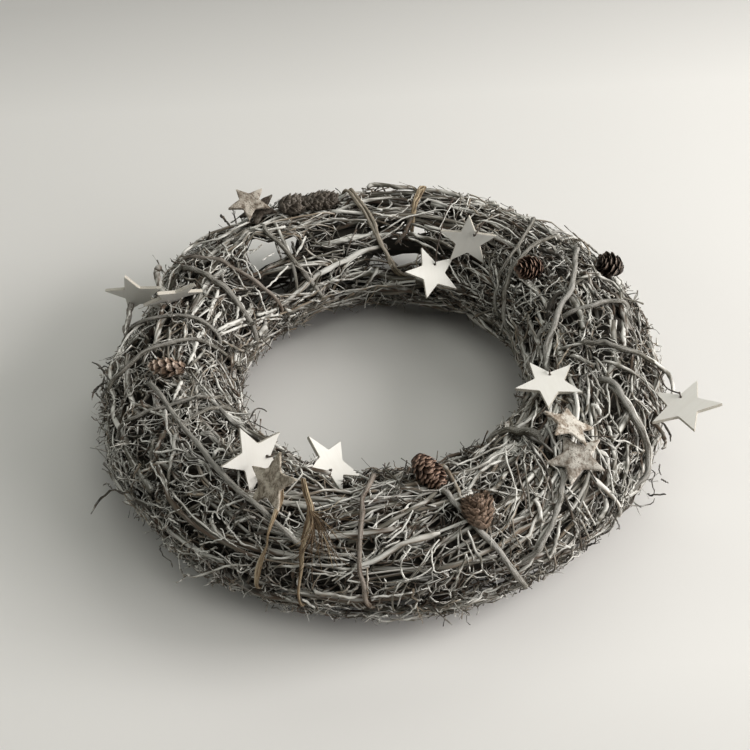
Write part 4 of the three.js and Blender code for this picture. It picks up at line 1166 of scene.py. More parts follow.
@dataclass
class TwigRing:
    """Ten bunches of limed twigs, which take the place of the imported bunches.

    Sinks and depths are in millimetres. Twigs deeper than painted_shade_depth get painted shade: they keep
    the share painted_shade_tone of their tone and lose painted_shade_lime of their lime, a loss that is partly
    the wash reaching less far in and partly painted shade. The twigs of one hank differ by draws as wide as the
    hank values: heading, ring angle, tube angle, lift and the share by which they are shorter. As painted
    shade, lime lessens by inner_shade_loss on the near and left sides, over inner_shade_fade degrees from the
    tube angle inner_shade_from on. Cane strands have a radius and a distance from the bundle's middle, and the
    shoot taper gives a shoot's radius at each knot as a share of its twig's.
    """

    eye: Array
    bunches: int = 10
    canes_a_bunch: int = 14
    cane_sink: float = 3.6
    cane_end_sink: float = 12.0
    brush_twigs: int = 96
    brush_root_sink: float = 17.0
    core_sink: float = 15.0
    deepest_core: float = 39.0
    # how deep twigs take painted shade: darker tone, and less lime that is partly wash and partly painted shade
    painted_shade_depth: float = 8.5
    painted_shade_tone: float = 0.38
    painted_shade_lime: float = 0.28
    thick_from: float = 1.2
    hank_heading: float = 0.07
    hank_shift: float = 4.0
    hank_roll: float = 3.6
    hank_rise: float = 0.9
    hank_short: float = 0.35
    # painted shade: lime taken off on the near and left sides, past the top of the tube towards the hole
    inner_shade_from: float = 105.0
    inner_shade_fade: float = 40.0
    inner_shade_loss: float = 0.45
    cane_strands: tuple[Pair, ...] = ((1.9, 0.0), (1.15, 2.4), (0.85, 2.7))
    shoot_taper: tuple[float, ...] = (0.75, 0.62, 0.52, 0.44, 0.58)
    shoot_angles: Pair = (25, 65)
    longest_shoot: float = 26.0
    finish: TwigFinish = field(default_factory=TwigFinish)
    small_openings: int = 110
    waist: Waist = Waist(161.0, 32.0, 7.0, 20.0, 20.0)
    openings: tuple[Opening, ...] = (
        Opening(130, 115, 14.0, 12.5, True), Opening(120, 120, 9.0, 7.5, True), Opening(79, 146, 12.5, 7.5, True),
        Opening(84, 134, 6.0, 4.5, True), Opening(75, 121, 5.5, 3.5, True), Opening(128, 147, 26.0, 11.0),
        Opening(142, 150, 9.0, 6.0), Opening(270, 32, 20.0, 5.0), Opening(296, 77, 7.0, 4.0),
        Opening(310, 81, 5.1, 3.8), Opening(303, 23, 8.0, 5.5), Opening(214, 19, 5.0, 4.0),
        Opening(223, 67, 6.5, 4.6), Opening(158, 157, 3.7, 6.6), Opening(177, 65, 5.5, 3.6),
        Opening(198, 74, 4.4, 3.4), Opening(32, 90, 5.0, 3.2), Opening(333, 71, 3.6, 6.0),
        Opening(165, 118, 5.8, 3.6), Opening(179, 151, 3.6, 5.7), Opening(254, 54, 3.7, 4.9),
        Opening(261, 73, 5.5, 3.7), Opening(240, 50, 5.0, 5.0), Opening(292, 91, 3.1, 4.4),
        Opening(275, 94, 5.6, 3.7), Opening(352, 122, 4.2, 3.5), Opening(3, 88, 4.4, 3.6), Opening(165, 82, 4.4, 3.6),
        Opening(233, 56, 4.4, 3.8), Opening(325, 19, 3.3, 6.0), Opening(278, 6, 6.2, 3.1), Opening(250, 27, 5.5, 3.1),
    )
    weaves: tuple[Weave, ...] = (
        Weave(620, EVEN, (-75, 255), (-17, -9), (50, 110), (0.9, 1.8), 25, 0.15, 0.1,
              (0, 0), 1.5, (0.0, 0.25), DIM, knots=7, sides=3, steps=6),
        Weave(310, THICK, (-55, 235), (-6, -0.5), (80, 190), (1.1, 2.2), 9, 0.05, 0.03,
              (0, 0), 1.6, (0.1, 0.85), WORN, knots=6, sides=7, steps=15, taper=0.7, shoots=1,
              shoot_length=0.3, aim=0.5, knob=0.17, hank=3, tuck=6.5, raised=85),
        Weave(1250, EVEN, (-50, 230), (-7, 0.8), (30, 95), (0.6, 1.25), 26, 0.12, 0.13,
              (-0.02, 0.04), 1.0, (0.05, 0.95), PALE, steps=12, shoots=2, shoot_length=0.3, knob=0.24,
              hank=3, tuck=3.0),
        Weave(2900, FINE, (-45, 225), (-7, 0.6), (12, 36), (0.42, 0.85), 60, 0.32, 0.45,
              (-0.02, 0.12), 0.8, (0.05, 0.95), PALE, sides=4, shoots=2, shoot_length=0.55, aim=0.7,
              knob=0.32),
    )

    @property
    def span(self) -> float:
        """Degrees of the ring that one bunch takes."""
        return 360.0 / self.bunches

    def grown(self, rng: Draws, weave: Weave) -> list[Strands]:
        """Twigs of one weave and their side shoots.

        The heading of a twig is a running sum of small random turns, with a kink of its own at each
        knot. Its ring angle and tube angle are running sums of a step's length times the heading's
        cosine over the reach and sine over the tube's radius, and its lift grows with the climb and
        wanders with the sway.

        Args:
            rng: Source of the draws.
            weave: The make of twig.

        Returns:
            The twigs, and their shoots where the weave has them.
        """
        count, knots = weave.count, weave.knots
        hanks = -(-count // weave.hank)
        own = np.repeat(np.arange(hanks), weave.hank)[:count]
        loose = 0.0 if weave.hank == 1 else 1.0
        fine_angle = np.linspace(0, 360, 721)
        share = np.cumsum(round_ring(weave.shares, fine_angle))
        around = np.interp(rng.random(hanks) * share[-1], share, fine_angle)
        heading = np.radians(rng.normal(weave.aim * round_ring(AIMS, around), weave.spread))
        heading = (heading + np.pi * rng.integers(0, 2, hanks))[own] + loose * rng.normal(0, self.hank_heading, count)
        around = around[own] + loose * rng.normal(0, self.hank_shift, count)
        over = between(rng, weave.over, hanks)
        below = (over < 30) & (np.sin(np.radians(around[::weave.hank])) < -0.5)
        over = (over + np.where(below, weave.raised, 0.0))[own] + loose * rng.normal(0, self.hank_roll, count)
        lift = between(rng, weave.lift, hanks)[own] + loose * rng.normal(0, self.hank_rise, count)
        length = between(rng, weave.length, hanks)[own] * (1 - self.hank_short * loose * rng.random(count))
        step = (length / (knots - 1))[:, None]
        turns = np.cumsum(rng.normal(0, weave.curl, (hanks, knots)), axis=1)[own]
        course = heading[:, None] + turns + rng.normal(0, weave.kink, (count, knots))
        climb = (between(rng, weave.climb, count) * leftness(around))[:, None] * step
        reach = (RING.radius + RING.half_width * np.cos(np.radians(over)))[:, None]
        middle = knots // 2
        ahead = np.cumsum(np.cos(course) * step, axis=1)
        aside = np.cumsum(np.sin(course) * step, axis=1)
        spot = around[:, None] + np.degrees((ahead - ahead[:, [middle]]) / reach)
        roll = over[:, None] + np.degrees((aside - aside[:, [middle]]) / RING.half_mean)
        height = lift[:, None] + climb * np.arange(knots) + rng.normal(0, weave.sway, (count, knots))
        height = height - weave.tuck * np.abs(np.linspace(-1, 1, knots)) ** 6
        place = RING.place(spot, roll, height)
        thick = between(rng, weave.radius, count)[:, None]
        taper = np.linspace(1, weave.taper, knots)[None]
        radius = thick * taper * rng.uniform(1 - weave.knob, 1 + weave.knob, (count, knots))
        tone = between(rng, weave.tone, count)[:, None] + rng.normal(0, 0.05, (count, knots))
        lime = round_ring(weave.limes, around)[:, None] * np.exp(rng.normal(-0.2, 0.6, (count, 1)))
        near, left = -np.sin(np.radians(around)), (-np.cos(np.radians(around)) - 0.4) / 0.6
        # painted shade: less lime on the near and left sides, past the top of the tube towards the hole
        inner_shade = np.clip((over - self.inner_shade_from) / self.inner_shade_fade, 0, 1) * np.clip(np.maximum(near, left), 0, 1)
        lime = lime * (1 - self.inner_shade_loss * inner_shade[:, None])
        lime = lime + rng.normal(-0.05, 0.16, (count, knots))
        made = Strands(channels(place, radius, tone, lime), weave.sides, weave.steps)
        wild = weave.curl + weave.kink
        return [made, *[self.shoots(rng, made, wild, weave.shoot_length, turn) for turn in range(weave.shoots)]]

    def shoots(self, rng: Draws, parent: Strands, wild: float, share: float, turn: int) -> Strands:
        """Side shoots, one on each twig, that leave it at an inner knot, kink and end in a bud.

        A shoot starts in the twig's direction turned to one side, and each of its steps turns a
        little more, partly outwards from the tube.

        Args:
            rng: Source of the draws.
            parent: The twigs.
            wild: How far its steps turn, in radians.
            share: Its length as a share of the twig's.
            turn: Number of the shoot on its twig.

        Returns:
            The shoots.
        """
        count, inner = len(parent.knots), parent.knots.shape[1] - 1
        at = rng.integers(1, inner, count)
        rows = np.arange(count)
        root = parent.knots[rows, at]
        ahead = unit(parent.knots[rows, at + 1, :3] - parent.knots[rows, at - 1, :3])
        outward = RING.outward(root[:, :3])
        side = unit(np.cross(ahead, outward))
        angle = np.radians(rng.uniform(*self.shoot_angles, count))
        angle = angle * np.where((rng.random(count) + turn) % 2 < 0.5, 1, -1)
        span = np.linalg.norm(parent.knots[:, -1, :3] - parent.knots[:, 0, :3], axis=1)
        length = np.minimum(span * share * rng.uniform(0.5, 1.1, count), self.longest_shoot)
        knots = len(self.shoot_taper)
        bends = angle[:, None] + np.cumsum(rng.normal(0, 0.9 * wild, (count, knots - 1)), axis=1)
        stray = 0.12 + 0.88 * leftness(parent.rows())
        rises = stray[:, None] * np.cumsum(rng.normal(0.04, 0.7 * wild, (count, knots - 1)), axis=1)
        step = (length / (knots - 1))[:, None, None]
        moves = step * unit(
            np.cos(bends)[..., None] * ahead[:, None]
            + np.sin(bends)[..., None] * side[:, None]
            + np.sin(rises)[..., None] * outward[:, None]
        )
        place = np.concatenate([root[:, None, :3], root[:, None, :3] + np.cumsum(moves, axis=1)], axis=1)
        thin = np.array(self.shoot_taper) * root[:, 3:4]
        tone = root[:, 4:5] + rng.normal(0, 0.05, (count, knots))
        lime = root[:, 5:6] + rng.normal(0, 0.12, (count, knots))
        return Strands(channels(place, thin, tone, lime), 3, knots - 1)

    def packed_canes(self, rng: Draws) -> list[Strands]:
        """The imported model's canes as bundles of three: one thick and two thin that wind about it.

        Cane n of its bunch lies at the tube angle -70 + 320 * (lane + scatter) / lanes and sinks at
        one end by the cube of the way along it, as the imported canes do.
        """
        n = np.arange(self.bunches * self.canes_a_bunch)
        lane, start = n % self.canes_a_bunch, self.span * (n // self.canes_a_bunch)
        over = -70 + 320 * (lane + 0.3 + 0.4 * scatter(n, 1)) / self.canes_a_bunch
        drift = 16 * (scatter(n, 2) - 0.5)
        forward = lane % 2 == 0
        short = 2 + 3 * scatter(n, 3)
        first = np.where(forward, start + short, start - 1)
        last = start + self.span + np.where(forward, 1, -short)
        t = np.linspace(0, 1, 4)[None, :]
        sway = 2.6 * (np.stack([scatter(n, 4 + i) for i in range(4)], axis=1) - 0.5)
        sink = self.cane_end_sink * np.where(forward[:, None], 1 - t, t) ** 3
        bundles = []
        for strand, (thick, offset) in enumerate(self.cane_strands):
            phase = rng.uniform(0, 2 * np.pi, (len(n), 1)) + 2.2 * t * np.pi * (1 if strand == 1 else -1)
            lift = sway - self.cane_sink - sink + 1.0 + offset * np.sin(phase)
            around = first[:, None] + (last - first)[:, None] * t
            roll = over[:, None] + drift[:, None] * t + np.degrees(offset * np.cos(phase) / RING.half_mean)
            place = RING.place(around, roll, lift)
            shape = (len(n), 4)
            radius = thick * rng.uniform(0.75, 1.2, (len(n), 1)) * rng.uniform(0.9, 1.1, shape)
            tone = rng.uniform(0.3, 0.8, (len(n), 1)) + rng.normal(0, 0.05, shape)
            lime = round_ring(WORN, start + self.span / 2)[:, None] + rng.normal(0, 0.14, shape)
            bundles.append(Strands(channels(place, radius, tone, lime), 8 if strand == 0 else 5, 14))
        return bundles

    def brush(self, rng: Draws) -> list[Strands]:
        """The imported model's brush as forked sprigs.

        Twig n stands at the ring angle 360 * (n + scatter) / count and reaches out further on the
        left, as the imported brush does. Three shoots fork off its inner knots.
        """
        n = np.arange(self.brush_twigs)
        around = 360 * (n + scatter(n, 11)) / self.brush_twigs
        over = -22 + 225 * scatter(n, 12)
        reach = 1 + (3 + 13 * leftness(around)) * scatter(n, 13)
        lean = 11 * (scatter(n, 14) - 0.5)
        roll = 16 * (scatter(n, 15) - 0.5)
        spots = np.stack([around, around + 0.35 * lean, around + 0.68 * lean, around + lean], axis=1)
        rolls = np.stack([over, over + 0.2 * roll, over + 0.6 * roll, over + roll], axis=1)
        lifts = np.stack([np.full(len(n), -self.brush_root_sink), np.full(len(n), -1.0), reach * 0.5, reach], axis=1)
        place = RING.place(spots, rolls, lifts)
        place[:, 2:] += rng.normal(0, 0.8, place[:, 2:].shape)
        radius = np.linspace(1.0, 0.42, 4)[None, :] * rng.uniform(0.7, 1.1, (len(n), 1))
        tone = rng.uniform(0.2, 0.6, (len(n), 1)) + rng.normal(0, 0.05, (len(n), 4))
        lime = round_ring(DULL, around)[:, None] + rng.normal(0, 0.08, (len(n), 4))
        made = Strands(channels(place, radius, tone, lime), 4, 9)
        return [made, *[self.shoots(rng, made, 0.64, 0.42, turn) for turn in range(3)]]

    def laid(self, rng: Draws) -> list[Strands]:
        """The single twigs of LAID, each smoothed through its points, in thin and thick ones.

        Thick ones sink at both ends by the eighth power of the way from their middle.
        """
        stations = 11
        share = np.linspace(0, 1, stations)
        ends = np.abs(2 * share - 1) ** 8
        groups: dict[int, list[Array]] = {4: [], 6: []}
        for radius, look, first, last, *course in LAID:
            is_thick = radius >= self.thick_from
            tone, lime = look.value
            spots = through(np.array(course, float).reshape(1, -1, 2), stations - 1)[0]
            lift = first + (last - first) * share - (2.5 * ends if is_thick else 0)
            place = RING.place(spots[:, 0], spots[:, 1], lift)
            place[1:-1] += rng.normal(0, 0.22, (stations - 2, 3))
            thick = radius * rng.uniform(0.83, 1.14, stations) * (1 - 0.25 * share**3) * (1 - 0.3 * ends)
            tones = tone + rng.normal(0, 0.05) + rng.normal(0, 0.03, stations)
            limes = lime - (0.1 if is_thick else 0) + rng.normal(0, 0.05) + rng.normal(0, 0.12, stations)
            groups[6 if is_thick else 4].append(channels(place, thick, tones, limes))
        return [Strands(np.array(rows), sides, stations - 1) for sides, rows in groups.items()]

    def shade_core(self, soup: Soup, rng: Draws, index: int) -> None:
        """Adds the dark middle of one bunch, painted shade for the shadow deep among the twigs: the tube's section
        sunk and roughened, along its span.

        In the open places of the far side it sinks further, by a smooth hill of the ring angle, and
        it moves aside from the through openings and in at the waist, as the twigs do.
        """
        shape = (13, 20)
        start = self.span * index
        around = np.linspace(start, start + self.span, shape[0])[:, None]
        over = np.linspace(-90, 270, shape[1], endpoint=False)[None, ::-1]
        deeper = sum(depth * np.clip((around - low) * (high - around) / (0.2 * (high - low) ** 2), 0, 1)
                     for low, high, depth in OPEN)
        sink = np.minimum(self.core_sink + deeper, self.deepest_core)
        lift = -sink + rng.normal(0, 1.2, shape) * (self.deepest_core + 0.5 - sink) / 25
        rings = RING.place(around, over, lift)[None]
        middle = RING.place(around, np.zeros((1, 1)), np.full((1, 1), -RING.half_width))
        moved = middle
        for opening in self.openings:
            if opening.through:
                moved = opening.part(moved, self.eye)
        rings = self.waist.drawn_in(rings + (moved - middle)[None])
        # painted shade: the core's low tone and lime give it the darkest bark colour of the ramp
        wear = np.full((*rings.shape[:3], 2), 0.06) + rng.uniform(0, 0.08, (*rings.shape[:3], 2))
        soup.add_lofts(rings, wear)

    def scattered(self, rng: Draws) -> tuple[Opening, ...]:
        """Small dark openings all over the tube."""
        spans = ((0, 360), (-15, 190), (2.0, 5.5), (1.4, 3.4))
        return tuple(Opening(*row) for row in zip(*(between(rng, span, self.small_openings) for span in spans)))

    def fit(self, smooth: Array, gaps: tuple[Opening, ...]) -> None:
        """Parts smoothed twigs at the gaps, draws them in at the waist and paints shade on the deep ones: darker tone
        and less lime.
        """
        for gap in gaps:
            smooth[..., :3] = gap.part(smooth[..., :3], self.eye)
        # painted shade: outer runs from 1 near the tube's skin to 0 deep inside it
        outer = np.clip((RING.depth(smooth[..., :3]) + self.painted_shade_depth) / (self.painted_shade_depth - 1), 0, 1)
        smooth[..., :3] = self.waist.drawn_in(smooth[..., :3])
        smooth[..., 2] = np.maximum(smooth[..., 2], smooth[..., 3] + FLOOR_GAP)
        # painted shade on the deep twigs: their tone darkens and their lime drops
        smooth[..., 4] *= self.painted_shade_tone + (1 - self.painted_shade_tone) * outer
        smooth[..., 5] -= self.painted_shade_lime * (1 - outer)

    def build(self, clearings: list[Clearing]) -> None:
        """Makes the ten bunches, each one piece, with twigs cut away where they hide an ornament.

        Args:
            clearings: The ornaments' faces.
        """
        rng = np.random.default_rng(SEED)
        single = self.laid(rng)
        made = self.packed_canes(rng) + self.brush(rng)
        for weave in self.weaves:
            made += self.grown(rng, weave)
        material = self.finish.material()
        gaps = self.openings + self.scattered(rng)
        shaped = []
        for number, strands in enumerate(single + made):
            smooth = strands.smoothed()
            hides = []
            if number >= len(single):
                self.fit(smooth, gaps)
                hides += [gap.crossed_by(smooth[..., :3], self.eye) for gap in self.openings if gap.through]
            hides += [clearing.hidden_by(smooth[..., :3]) for clearing in clearings]
            kept = ~np.any(hides, axis=0)
            shaped.append((strands.rows()[kept], *strands.swept(rng, smooth[kept])))
        for index in range(self.bunches):
            soup = Soup()
            self.shade_core(soup, rng, index)
            for rows, rings, wear in shaped:
                own = (rows >= self.span * index) & (rows < self.span * (index + 1))
                soup.add_lofts(rings[own], wear[own])
            piece = soup.piece(f"twigs_{index + 1}", [material], "OFBake")
            settle(piece, f"twig_bunch_{index + 1}")


# ---------------------------------------------------------------- vines and sticks


class Wood(Enum):
    """Kinds of vine and stick."""

    GREY = StickFinish("grey_vine", (0.050, 0.045, 0.034), (0.185, 0.168, 0.13), cover=0.45)
    PALE = StickFinish("pale_stick", (0.085, 0.078, 0.062), (0.26, 0.24, 0.20), cover=0.62)
    BROWN = StickFinish("brown_vine", (0.065, 0.042, 0.028), (0.22, 0.16, 0.11), cover=0.35)
    TAN = StickFinish("tan_vine", (0.08, 0.065, 0.042), (0.36, 0.29, 0.195), cover=0.35)
    MOTTLED = StickFinish("mottled_stick", (0.12, 0.105, 0.088), (0.34, 0.30, 0.255), cover=0.6, relief=0.9)


@dataclass(frozen=True)
class Stick:
    """One vine or stick: its CAD node, radius, wood and points as ring angle, tube angle, lift.

    Where twin is more than 0, two thinner ones run side by side, that many degrees to either side.
    """

    name: str
    radius: float
    wood: Wood
    points: tuple[Triple, ...]
    lime: float = 0.4
    twin: float = 0.0


STICKS = (
    Stick("long_stick_left", 2.4, Wood.GREY, (
        (189, 76, -8), (197, 81, 4), (208, 86, 5.5), (220, 84, 5), (233, 76, 5), (243, 66, 6.6), (249, 56.5, 6.4),
        (253, 50, 1.5), (257, 44, -5), (263, 36, -9),
    )),
    Stick("vine_left_1", 1.7, Wood.GREY, (
        (201, 18, -10), (200, 40, 1), (201, 62, 1), (202, 88, -1.5), (203, 111, 2), (202, 136, 1), (203, 158, -10),
    )),
    Stick("vine_left_2", 1.85, Wood.GREY, (
        (214, 40, -10), (211, 58, 1), (210, 74, -2), (209, 104, 1.5), (208, 130, 2), (208, 152, -10),
    )),
    Stick("vine_left_3", 2.15, Wood.GREY, (
        (190, 20, -10), (188, 38, 2), (186, 55, 3), (183, 76, 4), (180, 100, 3), (177, 121, 3), (177, 148, 2),
        (175, 172, 1), (171, 198, -10),
    )),
    Stick("vine_left_4", 1.9, Wood.GREY, (
        (172, 15, -13), (171, 36, -3.5), (170, 64, 1), (169, 95, 3), (168, 118, 2), (171, 136, 1), (174, 150, -10),
    )),
    Stick("vine_far_1", 2, Wood.BROWN, (
        (145, 40, -10), (145, 61, 1), (143, 87, 2), (142, 112, 2), (139, 140, 2), (135, 168, 1), (134, 200, -10),
    )),
    Stick("vine_far_2", 2.8, Wood.GREY, (
        (145.5, 52, -10), (149, 76, 1), (149.5, 98, 2), (151, 123, 2), (153, 148, 2), (155, 180, 1), (152, 212, -10),
    )),
    Stick("vine_far_3", 2.3, Wood.GREY, (
        (125, 70, -10), (123.5, 86, 1), (124, 102, 3), (122, 131, 3), (119, 155, 2), (115, 176, 1), (111, 202, -10),
    )),
    Stick("vine_far_4", 1.9, Wood.TAN, (
        (97, 42, -10), (96, 62, 2), (94, 90, 3), (91, 112, 3), (87, 136, 2), (82, 160, 1), (76, 182, -10),
    ), twin=0.62),
    Stick("vine_right_1", 1.8, Wood.GREY, (
        (49, 40, -10), (46, 59, 2), (41, 92, 3), (38, 124, 3), (36, 144, 2), (31, 166, 1), (25, 190, -10),
    )),
    Stick("vine_right_2", 2.3, Wood.GREY, (
        (36, 50, -10), (36, 71, 2), (36, 98, 2), (34, 130, 2), (29, 154, 2), (23, 172, 1), (17, 196, -10),
    )),
    Stick("vine_right_3", 2.8, Wood.PALE, (
        (33, 58, -8), (29, 67, 2), (24, 81, 4), (15, 98, 4), (8, 114, 4), (0, 128, 3), (351, 136, 1), (341, 140, -10),
    )),
    Stick("vine_right_4", 2.5, Wood.PALE, (
        (3, 160, -10), (5, 142, -1), (6.5, 120, -3.5), (6, 94, 1), (7, 75, 2), (7, 58, 2), (2, 40, -10),
    )),
    Stick("vine_right_5", 2.2, Wood.GREY, (
        (353, 118, -10), (351.5, 104, 1), (351, 88, 3), (350, 72, 3), (351, 50, 3), (352, 24, 2), (352, 2, -10),
    )),
    Stick("vine_near_1", 2.9, Wood.PALE, (
        (341, 96, -10), (338, 77, 3), (334, 63, 4), (331, 47, 4), (329, 26, 4), (325, 10, 3), (318, -4, -10),
    )),
    Stick("vine_near_2", 2.6, Wood.PALE, (
        (311, 78, -10), (309, 64, 1), (306, 55, 3), (303, 44, 3), (299, 33, 3), (295, 20, 2), (291, 4, -10),
    )),
    Stick("vine_near_3", 3.1, Wood.GREY, (
        (304, 150, -10), (307, 133, 2), (311, 116, 3), (312, 98, 2), (312, 84, -10),
    ), 0.3),
    Stick("vine_near_4", 2, Wood.BROWN, (
        (265, 132, -10), (266, 112, 3), (264, 88, 4), (264, 62, 4), (264, 36, 3), (265, 8, 2), (267, -24, -10),
    )),
    Stick("stub_stick_near", 2.6, Wood.PALE, (
        (281.5, 106, -10), (283, 90, 0), (285, 74, 0), (287, 56, 0.5), (289, 38, 3), (290.8, 20, 4), (293, -2, 6),
    )),
    Stick("star_pick", 3.1, Wood.MOTTLED, (
        (172, 39, -11), (168.5, 35, -4.2), (164, 34, 0), (158.6, 31.8, 4.6),
    )),
)


@dataclass
class Vines:
    """Vines and sticks bound over the bunches, each one piece in its CAD node's place."""

    sticks: tuple[Stick, ...] = STICKS
    sides: int = 12
    steps_a_span: int = 9
    slimming: float = 0.7
    swelling: float = 0.22
    grain_shift: float = 211.0

    def build(self) -> None:
        """Makes each stick: a swept round with swellings at its joints and a ridged bark."""
        rng = np.random.default_rng(SEED + 1)
        cut = CutEndFinish().material()
        barks = {wood: wood.value.material() for wood in Wood}
        for stick in self.sticks:
            soup = Soup()
            for side in (-1, 1) if stick.twin else (0,):
                self.lay(soup, rng, stick, side * stick.twin)
            piece = soup.piece(f"{stick.name}_bark", [barks[stick.wood], cut])
            settle(piece, stick.name)

    def lay(self, soup: Soup, rng: Draws, stick: Stick, aside: float) -> None:
        """Adds one stick to a soup.

        Its radius is the given one times 1 + swellings, where each swelling is a bell of the
        distance to its joint, and times 1 + a low ridge wave round and along the bark.

        Args:
            soup: Where the stick goes.
            rng: Source of the draws.
            stick: The stick.
            aside: Degrees that it is moved by round the ring.
        """
        around, over, lift = np.array(stick.points).T
        knots = RING.place(around + aside, over, lift)[None]
        steps = (len(stick.points) - 1) * self.steps_a_span
        path = through(knots, steps)
        gaps = np.linalg.norm(np.diff(path[0], axis=0), axis=1)
        along = np.concatenate([[0.0], np.cumsum(gaps)])
        path[0] += through(rng.normal(0, 0.5, (1, 16, 3)), steps)[0]
        joints = np.arange(rng.uniform(8, 20), along[-1], rng.uniform(24, 36))
        swell = self.swelling * np.exp(-(((along[:, None] - joints[None]) / 1.8) ** 2)).sum(axis=1)
        sway = through(rng.normal(0, 0.05, (1, 10, 1)), steps)[0, :, 0]
        radius = self.slimming * stick.radius * (1 + swell + sway)
        angle = np.linspace(0, 2 * np.pi, self.sides, endpoint=False)
        rings, outward = sweep(path, radius[None], self.sides)
        ridges = through(rng.normal(0, 0.085, (1, max(6, steps // 2), self.sides)), steps)
        rings = rings + (radius[None, :, None] * ridges)[..., None] * outward
        grain = np.stack(np.broadcast_arrays(
            along[:, None] + self.grain_shift * len(stick.name),
            stick.radius * np.cos(angle)[None],
            stick.radius * np.sin(angle)[None],
        ), axis=-1)[None]
        lime = stick.lime + 0.35 * outward[..., 2] + through(rng.normal(0, 0.12, (1, 9, 1)), steps)
        wear = np.clip(np.stack([np.full_like(lime, 0.5), lime], axis=-1), 0, 1)
        soup.add_lofts(rings, wear, grain, 0, end_skin=1)


# ---------------------------------------------------------------- bast ties


@dataclass(frozen=True)
class Tie:
    """One bast tie: its CAD node and its course as ring angle, tube angle, lift and half width."""

    name: str
    points: tuple[tuple[float, float, float, float], ...]
    fibres: int = 26
    tone: float = 0.5
    tuft_at: float | None = None


@dataclass
class BastTies:
    """Strips of raw bast wound over the bunches."""

    ties: tuple[Tie, ...] = (
        Tie("bast_tie_far", (
            (77, 30, -8, 1.4), (76.8, 51, 2, 2.6), (76.5, 66, 3.5, 3.0), (76.8, 84, 3.5, 2.8), (77, 97, 2.5, 2.0),
            (77, 120, -8, 1.2),
        ), 34, 0.62),
        Tie("bast_tie_near_1", (
            (243.5, 96, -8, 1.0), (244, 89, 1, 1.9), (245.5, 78, 3, 2.2), (246.4, 67, 8.4, 1.7),
            (246.5, 60, 9.4, 1.2), (246.3, 52, 7.6, 0.6), (246.1, 43, 2, 0.6), (245.6, 33, 2, 1.9),
            (245.2, 20, 2, 2.1), (245, 5, 1, 1.2), (245, -10, -8, 0.8),
        ), 30, 0.72),
        Tie("bast_tie_near_2", (
            (246.5, 112, -8, 1.4), (247.8, 102, 1, 1.7), (250.5, 87, 3, 2.3), (252.8, 75, 4, 2.5),
            (253, 61, 3.5, 1.9), (253, 48, 3.5, 1.6), (253.3, 32, 2, 0.9), (253, 12, 2, 0.6), (253.3, -4, 1, 0.8),
            (253.5, -18, -8, 0.8),
        ), 36, 0.52, 0.34),
    )
    half_depth: float = 0.9
    tuft_fibres: int = 44

    def build(self) -> None:
        """Makes each tie as a bundle of fibres, one with a frayed tuft."""
        rng = np.random.default_rng(SEED + 2)
        material = BastFinish().material()
        for tie in self.ties:
            soup = Soup()
            self.bundle(soup, rng, tie)
            if tie.tuft_at is not None:
                self.tuft(soup, rng, tie)
            settle(soup.piece(f"{tie.name}_fibres", [material]), tie.name)

    def bundle(self, soup: Soup, rng: Draws, tie: Tie) -> None:
        """Adds the fibres of the strip, which wind about its middle line.

        Fibre i stands off sideways by its own share of the half width * cos(phase) and upwards by
        half depth * sin(phase), where its phase wanders along the tie.
        """
        steps = 44
        middle = through(np.array([tie.points], float), steps)[0]
        t = np.linspace(0, 1, steps + 1)
        count = tie.fibres
        phase = rng.uniform(0, 2 * np.pi, (count, 1)) + through(rng.normal(0, 0.8, (count, 6, 1)), steps)[..., 0]
        inner = rng.uniform(0.15, 1.0, (count, 1))
        reach = RING.radius + RING.half_width * np.cos(np.radians(middle[:, 1]))
        around = middle[:, 0] + np.degrees(inner * middle[:, 3] * np.cos(phase) / reach)
        lift = middle[:, 2] + inner * self.half_depth * np.sin(phase)
        place = RING.place(around, middle[:, 1], lift)
        radius = rng.uniform(0.16, 0.42, (count, 1)) * np.ones_like(t)
        self.strands(soup, rng, place, radius, 5, tie.tone)

    def tuft(self, soup: Soup, rng: Draws, tie: Tie) -> None:
        """Adds straight frayed ends that fan out from the knot, down and along the tube."""
        steps = 100
        knot = through(np.array([tie.points], float), steps)[0][int(steps * tie.tuft_at)]
        count = self.tuft_fibres
        t = np.linspace(0, 1, 7)[None]
        length = rng.uniform(12, 40, (count, 1))
        heading = np.radians(rng.normal(-40, 13, (count, 1)) + rng.normal(-14, 26, (count, 1)) * t)
        reach = RING.radius + RING.half_width * np.cos(np.radians(knot[1]))
        around = knot[0] + np.degrees(length * t * np.cos(heading) / reach)
        over = knot[1] + np.degrees(length * t * np.sin(heading) / RING.half_mean)
        lift = knot[2] + 0.6 + rng.uniform(0.2, 3.0, (count, 1)) * t * np.sin(2.6 * t)
        place = RING.place(around, over, lift) + rng.normal(0, 0.12, (count, 7, 3)) * t[..., None]
        radius = np.linspace(0.3, 0.15, 7)[None] * rng.uniform(0.7, 1.3, (count, 1))
        self.strands(soup, rng, place, radius, 4, tie.tone - 0.38)

    @staticmethod
    def strands(soup: Soup, rng: Draws, place: Array, radius: Array, sides: int, tone: float) -> None:
        """Adds rows of fibres, each with a tone of its own about the tie's."""
        rings, _ = sweep(place, radius, sides)
        none = np.zeros(rings.shape[:3])
        tones = np.clip(rng.normal(tone, 0.3, (len(place), 1, 1)) + none, 0, 1)
        step = np.linalg.norm(np.diff(place, axis=1), axis=-1).mean()
        along = (np.arange(place.shape[1]) * step)[None, :, None] + none
        own = 17.0 * np.arange(len(place))[:, None, None] + none
        soup.add_lofts(rings, np.stack([tones, tones], axis=-1), np.stack([along, own, none], axis=-1))


# ---------------------------------------------------------------- stars


